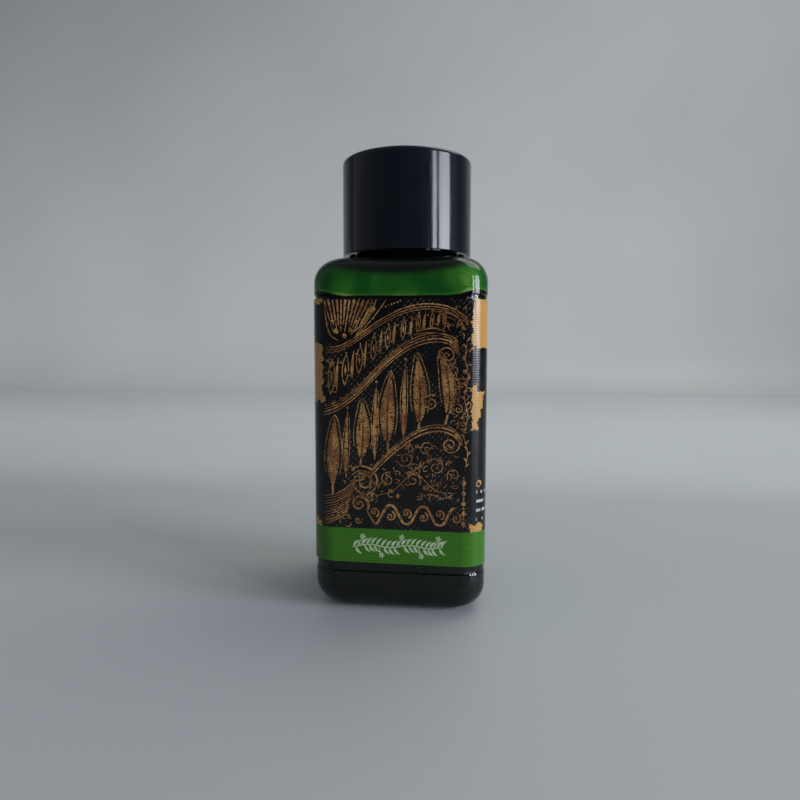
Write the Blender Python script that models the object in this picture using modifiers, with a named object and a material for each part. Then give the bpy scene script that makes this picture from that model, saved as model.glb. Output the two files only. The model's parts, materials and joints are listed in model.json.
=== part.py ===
"""A 30 ml ink bottle: a square clear PET bottle, its ink, its wrap-around label and its lined screw cap.

The bottle stands on the origin with its front face towards -Y and +Z up. All sizes are in metres.
Every piece is placed closed, as it stands on a desk.
"""

import math

import bmesh
import bpy
from mathutils import Matrix, Vector

# Body: a square with round corners, lofted from the foot to the shoulder
BODY_WIDTH = 0.0280
CORNER_RADIUS = 0.0039
CORNER_SHRINK = 0.25  # how much of an inset the corner radius gives up, at the foot and the shoulder
CORNER_SEGMENTS = 6
SHOULDER_HEIGHT = 0.0574
SHOULDER_INSET = 0.0040
SHOULDER_DROP = 0.0042
SHOULDER_RISE = 0.0003  # the slope from the end of the rounding to the neck
SHOULDER_FLAT_HALF = 0.0090
BASE_NARROWER = 0.00007  # how much less the base's half width is than the shoulder's
BASE_INSET = 0.0040
BASE_RISE = 0.0046
PANEL_RECESS = 0.00017  # the label lies in a shallow recess, flush with the shoulder
PANEL_WAIST = 0.00006  # how much further the panel has sunk halfway up, as blown walls do
PANEL_STEP = 0.0006  # height of the slopes into the recess
FOOT_HALF = 0.0074  # inner edge of the ring that the bottle stands on
PUSH_UP_HALF = 0.0052
PUSH_UP = 0.0009
ROUND_SEGMENTS = 6
WALL = 0.0009
FLOOR = 0.0012

# Neck: a 20 mm finish with a continuous thread of one and a half turns
ROUND_STEPS = 48
NECK_HEIGHT = 0.0143
NECK_RADIUS = 0.00875
NECK_FILLET = 0.0006
BORE_RADIUS = 0.00675
RIM_CHAMFER = 0.0003
BEAD_RADIUS = 0.0096
BEAD_BOTTOM = 0.0016  # above the shoulder
BEAD_WIDTH = 0.0011
BEAD_SLOPE = 0.0003
THREAD_PITCH = 0.003175
THREAD_RADIUS = 0.00975
THREAD_ROOT_WIDTH = 0.0015
THREAD_CREST_WIDTH = 0.0008
THREAD_TURNS = 1.5
THREAD_START = 0.0069  # middle of the thread's lower end, above the shoulder

# Cap and liner
CAP_RADIUS = 0.01106
CAP_EDGE = 0.0008
CAP_GAP = 0.0009  # between the shoulder and the skirt
CAP_WALL = 0.0011
CAP_TOP = 0.0014
SKIRT_CHAMFER = 0.00015
CAP_THREAD_RADIUS = 0.00895
CAP_THREAD_ROOT_WIDTH = 0.0013
CAP_THREAD_CREST_WIDTH = 0.0007
CAP_THREAD_TURNS = 1.5
CAP_THREAD_BEHIND = 0.375  # turns by which the cap's thread starts below the neck's
THREAD_CLEARANCE = 0.00015  # between the flanks that carry the load
LINER_RADIUS = 0.0096
LINER_THICKNESS = 0.0011
LINER_CHAMFER = 0.0001
TAPER_TURNS = 1 / 12  # over which a thread runs out at each end

# Label and ink
LABEL_BOTTOM = 0.0082
LABEL_TOP = 0.0502
LABEL_MARGIN = 0.0003  # of the recess above and below the label, past what its skew takes up
LABEL_THICKNESS = 0.00012
LABEL_SEAM = 0.0010  # bare strip between the label's two ends, down the middle of the back
LABEL_SKEW = 0.0096  # the label is on slightly askew: its drop per length, going round to the right
INK_LEVEL = 0.0506

REST_GAP = 0.00005  # between pieces that lie on each other
OVERLAP = 0.00025  # how far a joined shape reaches into its neighbour

RIM_HEIGHT = SHOULDER_HEIGHT + NECK_HEIGHT
CAP_BOTTOM = SHOULDER_HEIGHT + CAP_GAP
CAP_INSIDE_TOP = RIM_HEIGHT + LINER_THICKNESS + 2 * REST_GAP
CAP_CROWN = CAP_INSIDE_TOP + CAP_TOP


def clear_scene():
    """Removes every object, so that the model starts from nothing."""
    for obj in list(bpy.data.objects):
        bpy.data.objects.remove(obj, do_unlink=True)


def new_collection(name):
    collection = bpy.data.collections.new(name)
    bpy.context.scene.collection.children.link(collection)
    return collection


def new_material(name, colour, roughness, transmission=0.0):
    """A Principled material with a linear colour."""
    material = bpy.data.materials.new(name)
    material.use_nodes = True
    shader = material.node_tree.nodes["Principled BSDF"]
    shader.inputs["Base Color"].default_value = (*colour, 1.0)
    shader.inputs["Metallic"].default_value = 0.0
    shader.inputs["Roughness"].default_value = roughness
    shader.inputs["Transmission Weight"].default_value = transmission
    return material


def finish_object(name, mesh, collection, material=None):
    """Puts a mesh in the scene as a named object, smooth except at its edges."""
    obj = bpy.data.objects.new(name, mesh)
    collection.objects.link(obj)
    mesh.shade_smooth()
    mesh.set_sharp_from_angle(angle=math.radians(35))
    if material:
        mesh.materials.append(material)
    return obj


def as_tool(obj):
    """Hides a shape that only cuts or joins another."""
    obj.hide_render = True
    obj.display_type = "WIRE"
    return obj


def add_boolean(obj, tool, operation):
    modifier = obj.modifiers.new(f"{operation.lower()}_{tool.name}", "BOOLEAN")
    modifier.operation = operation
    modifier.object = tool
    modifier.solver = "EXACT"


def corner_points(half, radius):
    """The outline of a square with round corners, anticlockwise from the foot of its +X, +Y corner."""
    points = []
    for quarter in range(4):
        turn = Matrix.Rotation(quarter * math.pi / 2, 3, "Z")
        for step in range(CORNER_SEGMENTS + 1):
            angle = step / CORNER_SEGMENTS * math.pi / 2
            x = half - radius + radius * math.cos(angle)
            y = half - radius + radius * math.sin(angle)
            points.append(turn @ Vector((x, y, 0)))
    return points


def loft(name, sections, collection, material=None):
    """A closed solid through square sections, each (half width, corner radius, height), bottom first."""
    bm = bmesh.new()
    rings = []
    for half, radius, height in sections:
        outline = corner_points(half, radius)
        rings.append([bm.verts.new(point + Vector((0, 0, height))) for point in outline])
    for lower, upper in zip(rings, rings[1:]):
        for i, vert in enumerate(lower):
            j = (i + 1) % len(lower)
            bm.faces.new((vert, lower[j], upper[j], upper[i]))
    bm.faces.new(reversed(rings[0]))
    bm.faces.new(rings[-1])
    mesh = bpy.data.meshes.new(name)
    bm.to_mesh(mesh)
    bm.free()
    return finish_object(name, mesh, collection, material)


def section_at(side, inset, height):
    """A section of the body: side moves the wall in parallel, and inset rounds it in."""
    half = BODY_WIDTH / 2 - side - inset
    return (half, CORNER_RADIUS - side - CORNER_SHRINK * inset, height)


def panel_sections(side):
    """The straight part of the body, with the recess that the label lies in."""
    rise = LABEL_SKEW * 2 * BODY_WIDTH + LABEL_MARGIN
    bottom = LABEL_BOTTOM - rise
    top = LABEL_TOP + rise
    return [
        section_at(side + BASE_NARROWER, 0.0, bottom - PANEL_STEP),
        section_at(side + PANEL_RECESS, 0.0, bottom),
        section_at(side + PANEL_RECESS + PANEL_WAIST, 0.0, (bottom + top) / 2),
        section_at(side + PANEL_RECESS, 0.0, top),
        section_at(side, 0.0, top + PANEL_STEP),
    ]


def lower_sections(side, floor):
    """The push-up, the foot and the rounded base, moved in by side and up by floor."""
    side += BASE_NARROWER
    half = BODY_WIDTH / 2 - side
    sections = [
        section_at(side, half - PUSH_UP_HALF, floor + PUSH_UP),
        section_at(side, half - FOOT_HALF, floor),
    ]
    for step in range(ROUND_SEGMENTS + 1):
        angle = step / ROUND_SEGMENTS * math.pi / 2
        inset = BASE_INSET * (1 - math.sin(angle))
        sections.append(section_at(side, inset, floor + BASE_RISE * (1 - math.cos(angle))))
    return sections


def upper_sections(side, drop):
    """The rounded shoulder and its slope up to the neck, moved in by side and down by drop."""
    half = BODY_WIDTH / 2 - side
    start = SHOULDER_HEIGHT - SHOULDER_RISE - SHOULDER_DROP - drop
    sections = []
    for step in range(ROUND_SEGMENTS + 1):
        angle = step / ROUND_SEGMENTS * math.pi / 2
        inset = SHOULDER_INSET * (1 - math.cos(angle))
        sections.append(section_at(side, inset, start + SHOULDER_DROP * math.sin(angle)))
    top = SHOULDER_HEIGHT - drop
    sections.append(section_at(side, half - SHOULDER_FLAT_HALF, top))
    return sections


def body_sections(side, floor, drop):
    """The whole body from the push-up to the neck, moved in from every side."""
    return lower_sections(side, floor) + panel_sections(side) + upper_sections(side, drop)


def turned(name, profile, collection, material=None):
    """A solid of revolution about Z from (radius, height) points that run down its outer side."""
    mesh = bpy.data.meshes.new(f"{name}_profile")
    points = [(radius, 0.0, height) for radius, height in profile]
    mesh.from_pydata(points, [(i, i + 1) for i in range(len(points) - 1)], [])
    guide = bpy.data.objects.new(f"{name}_guide", mesh)
    collection.objects.link(guide)
    screw = guide.modifiers.new("turn", "SCREW")
    screw.steps = ROUND_STEPS
    screw.render_steps = ROUND_STEPS
    screw.use_merge_vertices = True
    screw.merge_threshold = 0.00001
    graph = bpy.context.evaluated_depsgraph_get()
    solid = bpy.data.meshes.new_from_object(guide.evaluated_get(graph))
    bpy.data.objects.remove(guide, do_unlink=True)
    bpy.data.meshes.remove(mesh)
    solid.name = name
    return finish_object(name, solid, collection, material)


def arc(centre, radius, start, end, steps):
    """Points of an arc in the (radius, height) plane, its angles in degrees."""
    points = []
    for step in range(steps + 1):
        angle = math.radians(start + (end - start) * step / steps)
        points.append((centre[0] + radius * math.cos(angle), centre[1] + radius * math.sin(angle)))
    return points


def helix_height(turns):
    """Height of the middle of the neck's thread after that many turns from its lower end."""
    return SHOULDER_HEIGHT + THREAD_START + THREAD_PITCH * turns


def thread(name, wall, crest, widths, first_turn, turns, shift, collection):
    """A helical ridge that stands on a wall and runs out at both ends, shifted along the neck's helix."""
    outward = 1 if crest > wall else -1
    root = wall - outward * OVERLAP
    flank = (widths[0] - widths[1]) / 2 / abs(crest - wall)
    steps = round(turns * ROUND_STEPS)
    bm = bmesh.new()
    rings = []
    for step in range(steps + 1):
        along = step / ROUND_STEPS
        full = min(1.0, along / TAPER_TURNS, (turns - along) / TAPER_TURNS)
        tip = root + (crest - root) * max(full, 0.1)
        angle = (first_turn + along) * 2 * math.pi
        height = helix_height(first_turn + along) + shift
        ring = []
        for radius, side in ((root, -1), (tip, -1), (tip, 1), (root, 1)):
            half_width = widths[1] / 2 + flank * abs(crest - radius)
            place = (radius * math.cos(angle), radius * math.sin(angle), height + side * half_width)
            ring.append(bm.verts.new(place))
        rings.append(ring)
    for near, far in zip(rings, rings[1:]):
        for i in range(4):
            j = (i + 1) % 4
            bm.faces.new((near[i], near[j], far[j], far[i]))
    bm.faces.new(rings[0])
    bm.faces.new(rings[-1])
    bmesh.ops.recalc_face_normals(bm, faces=bm.faces)
    mesh = bpy.data.meshes.new(name)
    bm.to_mesh(mesh)
    bm.free()
    return as_tool(finish_object(name, mesh, collection))


def make_bottle(parts, tools, material):
    """The clear bottle: a lofted body with a turned neck and its thread, hollow up to the rim."""
    bottle = loft("bottle", body_sections(0.0, 0.0, 0.0), parts, material)
    foot = SHOULDER_HEIGHT - 2 * OVERLAP
    fillet = (NECK_RADIUS + NECK_FILLET, SHOULDER_HEIGHT + NECK_FILLET)
    bead = SHOULDER_HEIGHT + BEAD_BOTTOM
    neck_profile = [
        (0.0, RIM_HEIGHT),
        (NECK_RADIUS - RIM_CHAMFER, RIM_HEIGHT),
        (NECK_RADIUS, RIM_HEIGHT - RIM_CHAMFER),
        (NECK_RADIUS, bead + BEAD_WIDTH + BEAD_SLOPE),
        (BEAD_RADIUS, bead + BEAD_WIDTH),
        (BEAD_RADIUS, bead),
        (NECK_RADIUS, bead - BEAD_SLOPE),
        *arc(fillet, NECK_FILLET, 180, 270, 3),
        (fillet[0], foot),
        (0.0, foot),
    ]
    neck = as_tool(turned("neck", neck_profile, tools))
    ridge = thread(
        "neck_thread",
        NECK_RADIUS,
        THREAD_RADIUS,
        (THREAD_ROOT_WIDTH, THREAD_CREST_WIDTH),
        0.0,
        THREAD_TURNS,
        0.0,
        tools,
    )
    cavity = as_tool(loft("cavity", body_sections(WALL, FLOOR, WALL), tools))
    bore_profile = [
        (0.0, RIM_HEIGHT + OVERLAP),
        (BORE_RADIUS, RIM_HEIGHT + OVERLAP),
        (BORE_RADIUS, SHOULDER_HEIGHT - WALL - 2 * OVERLAP),
        (0.0, SHOULDER_HEIGHT - WALL - 2 * OVERLAP),
    ]
    bore = as_tool(turned("bore", bore_profile, tools))
    add_boolean(bottle, neck, "UNION")
    add_boolean(bottle, ridge, "UNION")
    add_boolean(bottle, cavity, "DIFFERENCE")
    add_boolean(bottle, bore, "DIFFERENCE")
    return bottle


def make_ink(parts, material):
    """The ink: the hollow of the body, filled up to its level."""
    inside = body_sections(WALL + REST_GAP, FLOOR + REST_GAP, WALL + REST_GAP)
    sections = [section for section in inside if section[2] < INK_LEVEL]
    half, radius, _ = sections[-1]
    sections.append((half, radius, INK_LEVEL))
    return loft("ink", sections, parts, material)


def make_label(parts, material):
    """The label: a thin strip that goes once round the body, its ends a little apart behind."""
    side = PANEL_RECESS - REST_GAP
    half = BODY_WIDTH / 2 - side
    outline = corner_points(half, CORNER_RADIUS - side)
    behind = CORNER_SEGMENTS + 1  # the outline's first corner ends on the back
    path = [Vector((-LABEL_SEAM / 2, half, 0)), *outline[behind:], *outline[:behind]]
    path.append(Vector((LABEL_SEAM / 2, half, 0)))
    lengths = [0.0]
    for start, end in zip(path, path[1:]):
        lengths.append(lengths[-1] + (end - start).length)
    bm = bmesh.new()
    columns = []
    for point, length in zip(path, lengths):
        drop = LABEL_SKEW * (length - lengths[-1] / 2)
        low = bm.verts.new(point + Vector((0, 0, LABEL_BOTTOM - drop)))
        high = bm.verts.new(point + Vector((0, 0, LABEL_TOP - drop)))
        columns.append((low, high))
    for left, right in zip(columns, columns[1:]):
        bm.faces.new((left[0], right[0], right[1], left[1]))
    mesh = bpy.data.meshes.new("label")
    bm.to_mesh(mesh)
    bm.free()
    label = finish_object("label", mesh, parts, material)
    wall = label.modifiers.new("thickness", "SOLIDIFY")
    wall.thickness = LABEL_THICKNESS
    wall.offset = 1.0
    wall.use_even_offset = True
    return label


def make_cap(parts, tools, material):
    """The cap: a turned shell with its thread inside."""
    bore = CAP_RADIUS - CAP_WALL
    edge = (CAP_RADIUS - CAP_EDGE, CAP_CROWN - CAP_EDGE)
    cap_profile = [
        (0.0, CAP_CROWN),
        *arc(edge, CAP_EDGE, 90, 0, 5),
        (CAP_RADIUS, CAP_BOTTOM + SKIRT_CHAMFER),
        (CAP_RADIUS - SKIRT_CHAMFER, CAP_BOTTOM),
        (bore + SKIRT_CHAMFER, CAP_BOTTOM),
        (bore, CAP_BOTTOM + SKIRT_CHAMFER),
        (bore, CAP_INSIDE_TOP),
        (0.0, CAP_INSIDE_TOP),
    ]
    cap = turned("cap_shell", cap_profile, parts, material)
    # The cap's upper flank lies under the neck's lower flank, which is what pulls the cap down.
    halves = (THREAD_CREST_WIDTH + CAP_THREAD_ROOT_WIDTH) / 2
    lower = halves + THREAD_CLEARANCE
    ridge = thread(
        "cap_thread",
        bore,
        CAP_THREAD_RADIUS,
        (CAP_THREAD_ROOT_WIDTH, CAP_THREAD_CREST_WIDTH),
        -CAP_THREAD_BEHIND,
        CAP_THREAD_TURNS,
        -lower,
        tools,
    )
    add_boolean(cap, ridge, "UNION")
    return cap


def make_liner(parts, material):
    """The liner: a foam disc between the rim and the inside of the cap."""
    bottom = RIM_HEIGHT + REST_GAP
    top = bottom + LINER_THICKNESS
    liner_profile = [
        (0.0, top),
        (LINER_RADIUS - LINER_CHAMFER, top),
        (LINER_RADIUS, top - LINER_CHAMFER),
        (LINER_RADIUS, bottom + LINER_CHAMFER),
        (LINER_RADIUS - LINER_CHAMFER, bottom),
        (0.0, bottom),
    ]
    return turned("cap_liner", liner_profile, parts, material)


def main():
    clear_scene()
    parts = new_collection("ink_bottle")
    tools = new_collection("cutters")
    clear_pet = new_material("clear_pet", (0.90, 0.95, 0.92), 0.04, transmission=0.9)
    green_ink = new_material("green_ink", (0.003, 0.020, 0.005), 0.08)
    printed_film = new_material("printed_film", (0.012, 0.011, 0.010), 0.35)
    black_polypropylene = new_material("black_polypropylene", (0.008, 0.010, 0.014), 0.18)
    white_foam = new_material("white_foam", (0.80, 0.80, 0.78), 0.75)
    make_bottle(parts, tools, clear_pet)
    make_ink(parts, green_ink)
    make_label(parts, printed_film)
    make_liner(parts, white_foam)
    make_cap(parts, tools, black_polypropylene)


main()
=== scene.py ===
"""A small square bottle of fountain pen ink: clear PET, green ink, a printed label and a black screw cap.

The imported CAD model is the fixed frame. Every piece is built in metres in that frame, with the bottle's
front face towards -Y, its foot on z = 0 and its axis on Z. The finishes give their sizes in mm.
"""

from __future__ import annotations

import json
import logging
import math
import random
from collections.abc import Callable, Sequence
from dataclasses import dataclass, field
from enum import Enum
from typing import Any

import bmesh
import bpy
from mathutils import Matrix, Vector

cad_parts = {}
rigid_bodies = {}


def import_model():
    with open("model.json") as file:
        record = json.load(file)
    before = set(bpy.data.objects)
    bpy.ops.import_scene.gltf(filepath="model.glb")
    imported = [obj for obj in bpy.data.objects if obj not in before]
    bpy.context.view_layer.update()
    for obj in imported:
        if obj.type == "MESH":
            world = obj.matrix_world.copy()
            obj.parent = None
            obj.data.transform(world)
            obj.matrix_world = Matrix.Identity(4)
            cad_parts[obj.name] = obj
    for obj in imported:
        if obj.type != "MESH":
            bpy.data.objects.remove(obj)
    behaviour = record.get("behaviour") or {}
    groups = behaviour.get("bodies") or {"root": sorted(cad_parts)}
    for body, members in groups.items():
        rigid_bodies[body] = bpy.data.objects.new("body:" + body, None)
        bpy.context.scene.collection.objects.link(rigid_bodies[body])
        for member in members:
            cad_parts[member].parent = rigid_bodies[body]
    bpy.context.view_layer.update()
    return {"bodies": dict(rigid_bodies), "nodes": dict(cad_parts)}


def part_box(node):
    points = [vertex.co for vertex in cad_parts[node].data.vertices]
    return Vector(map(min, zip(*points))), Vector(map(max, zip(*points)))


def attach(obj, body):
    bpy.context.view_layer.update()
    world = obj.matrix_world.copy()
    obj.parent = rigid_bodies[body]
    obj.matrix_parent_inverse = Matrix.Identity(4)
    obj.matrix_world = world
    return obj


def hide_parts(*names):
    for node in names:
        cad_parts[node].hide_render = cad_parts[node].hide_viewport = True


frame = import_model()

LOG = logging.getLogger("ink_bottle")
MM = 0.001
QUARTER = math.pi / 2
FULL = 2 * math.pi
SMOOTH_ANGLE = math.radians(38)
# A wave texture of scale 1 repeats after this many metres.
WAVE_PERIOD = 0.314
THREAD_PITCH = 3.175 * MM
THREAD_STEPS = 96
LABEL_HEIGHT = 42.0 * MM

Point = tuple[float, float]
Place = tuple[float, float, float]


# ---------------------------------------------------------------------------------------------------------
# Colours, nodes and meshes
# ---------------------------------------------------------------------------------------------------------


def linear(colour: str) -> tuple[float, float, float, float]:
    """Turns an sRGB colour into the linear one that shaders and lights take.

    Args:
        colour: Six hex digits with a leading hash.

    Returns:
        Red, green, blue and an alpha of 1.
    """
    channels = [int(colour[start : start + 2], 16) / 255 for start in (1, 3, 5)]
    red, green, blue = (
        value / 12.92 if value <= 0.04045 else ((value + 0.055) / 1.055) ** 2.4 for value in channels
    )
    return (red, green, blue, 1.0)


def add_node(
    tree: bpy.types.NodeTree,
    kind: str,
    inputs: dict[str | int, Any] | None = None,
    stops: Sequence[tuple[float, Any]] = (),
    **settings: Any,
) -> bpy.types.Node:
    """Adds a shader node with its settings and its links.

    Args:
        tree: The node tree that takes it.
        kind: The node's type, without the leading "ShaderNode".
        inputs: A value, or another node's output, for each input by its name or number.
        stops: Position and colour or grey of each stop, for a colour ramp.
        **settings: The node's own attributes.

    Returns:
        The new node.
    """
    node = tree.nodes.new(f"ShaderNode{kind}")
    for name, value in settings.items():
        setattr(node, name, value)
    if stops:
        ramp = node.color_ramp
        while len(ramp.elements) < len(stops):
            ramp.elements.new(1.0)
        for element, (position, colour) in zip(ramp.elements, stops):
            element.position = position
            element.color = colour if isinstance(colour, tuple) else (colour, colour, colour, 1.0)
    for name, value in (inputs or {}).items():
        if isinstance(value, bpy.types.NodeSocket):
            tree.links.new(value, node.inputs[name])
        else:
            node.inputs[name].default_value = value
    return node


def clear_others() -> None:
    """Removes every object that isn't the frame's."""
    ours = set(frame["nodes"].values()) | set(frame["bodies"].values())
    for obj in list(bpy.data.objects):
        if obj not in ours:
            bpy.data.objects.remove(obj, do_unlink=True)


def new_object(name: str, bm: bmesh.types.BMesh, *materials: bpy.types.Material) -> bpy.types.Object:
    """Puts a finished mesh in the scene, smooth except at its edges.

    Args:
        name: The piece's name.
        bm: Its mesh, which is freed.
        *materials: Its materials, in the order of the faces' material numbers.

    Returns:
        The object, at the origin.
    """
    mesh = bpy.data.meshes.new(name)
    bm.to_mesh(mesh)
    bm.free()
    for material in materials:
        mesh.materials.append(material)
    mesh.shade_smooth()
    mesh.set_sharp_from_angle(angle=SMOOTH_ANGLE)
    obj = bpy.data.objects.new(name, mesh)
    bpy.context.scene.collection.objects.link(obj)
    return obj


def settle(obj: bpy.types.Object) -> bpy.types.Object:
    """Applies an object's modifiers.

    Args:
        obj: The object.

    Returns:
        The same object, with its evaluated mesh as its own.
    """
    graph = bpy.context.evaluated_depsgraph_get()
    mesh = bpy.data.meshes.new_from_object(obj.evaluated_get(graph), depsgraph=graph)
    mesh.name = obj.name
    mesh.set_sharp_from_angle(angle=SMOOTH_ANGLE)
    obj.modifiers.clear()
    obj.data = mesh
    return obj


def next_ring(
    bm: bmesh.types.BMesh, edges: list[bmesh.types.BMEdge], place: Callable[[Vector], Vector]
) -> list[bmesh.types.BMEdge]:
    """Extrudes a ring of edges and puts each new vertex in its place.

    Args:
        bm: The mesh.
        edges: The ring.
        place: Gives a new vertex's place from its old one.

    Returns:
        The new ring's edges.
    """
    made = bmesh.ops.extrude_edge_only(bm, edges=edges)["geom"]
    for vert in made:
        if isinstance(vert, bmesh.types.BMVert):
            vert.co = place(vert.co)
    return [edge for edge in made if isinstance(edge, bmesh.types.BMEdge)]


def turned(profile: Sequence[Place], steps: int, segments: int = 8) -> bmesh.types.BMesh:
    """Turns a profile about Z into a closed shell with its faces outwards.

    Args:
        profile: Radius, height and rounding of each point, in metres.
        steps: Faces round the axis.
        segments: Faces across each rounding.

    Returns:
        The shell's mesh.
    """
    bm = bmesh.new()
    verts = [bm.verts.new((radius, 0.0, height)) for radius, height, _ in profile]
    for start, end in zip(verts, verts[1:]):
        bm.edges.new((start, end))
    for vert, (_, _, rounding) in zip(verts, profile):
        if rounding:
            bmesh.ops.bevel(
                bm,
                geom=[vert],
                offset=rounding,
                offset_type="OFFSET",
                segments=segments,
                profile=0.5,
                affect="VERTICES",
                material=-1,
            )
    bmesh.ops.spin(
        bm,
        geom=bm.verts[:] + bm.edges[:],
        cent=(0, 0, 0),
        axis=(0, 0, 1),
        dvec=(0, 0, 0),
        angle=FULL,
        steps=steps,
        use_merge=True,
    )
    bmesh.ops.remove_doubles(bm, verts=bm.verts, dist=0.001 * MM)
    bmesh.ops.recalc_face_normals(bm, faces=bm.faces)
    return bm


# ---------------------------------------------------------------------------------------------------------
# Finishes
# ---------------------------------------------------------------------------------------------------------


@dataclass(frozen=True)
class Finish:
    """What every finish has: a name, and a Principled shader whose sockets it sets."""

    name: str

    def start(
        self, **sockets: Any
    ) -> tuple[bpy.types.Material, bpy.types.NodeTree, bpy.types.Node, bpy.types.NodeSocket]:
        """Makes the material and sets its shader's own sockets.

        Args:
            **sockets: Value of each socket, by its name with underscores for spaces.

        Returns:
            The material, its node tree, its shader, and its Object coordinates.
        """
        material = bpy.data.materials.new(self.name)
        material.use_nodes = True
        tree = material.node_tree
        shader = tree.nodes["Principled BSDF"]
        for socket, value in sockets.items():
            shader.inputs[socket.replace("_", " ")].default_value = value
        place = add_node(tree, "TexCoord")
        return material, tree, shader, place.outputs["Object"]

    def material(self) -> bpy.types.Material:
        """Builds the material."""
        raise NotImplementedError


def noise(tree: bpy.types.NodeTree, place: Any, size: float, **inputs: float) -> bpy.types.NodeSocket:
    """Adds a noise whose grains have a real size.

    Args:
        tree: The node tree.
        place: The coordinates that it follows, in metres.
        size: Size of its largest grains, in mm.
        **inputs: Its other inputs, such as Detail.

    Returns:
        The noise's value.
    """
    node = add_node(tree, "TexNoise", {"Vector": place, "Scale": 1 / (size * MM), **inputs})
    return node.outputs["Fac"]


@dataclass(frozen=True)
class BlownPet(Finish):
    """Clear PET, stretch-blown: glassy, with faint waves from the mould and fine handling scuffs."""

    name: str = "clear_PET_stretch_blown"
    tint: str = "#F3F8F5"
    roughness: float = 0.03
    scuffed: float = 0.1
    ior: float = 1.44
    wave_size: float = 7.0
    wave_height: float = 0.02
    scuff_size: float = 0.7

    def material(self) -> bpy.types.Material:
        """Builds the material.

        Returns:
            The material.
        """
        material, tree, shader, place = self.start(
            Base_Color=linear(self.tint), Transmission_Weight=1.0, IOR=self.ior
        )
        waves = noise(tree, place, self.wave_size, Detail=1.0)
        bump = add_node(tree, "Bump", {"Height": waves, "Distance": self.wave_height * MM})
        scuffs = noise(tree, place, self.scuff_size, Detail=4.0)
        spread = add_node(
            tree,
            "MapRange",
            {
                "Value": scuffs,
                "From Min": 0.5,
                "From Max": 0.8,
                "To Min": self.roughness,
                "To Max": self.scuffed,
            },
        )
        tree.links.new(bump.outputs["Normal"], shader.inputs["Normal"])
        tree.links.new(spread.outputs["Result"], shader.inputs["Roughness"])
        return material


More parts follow.
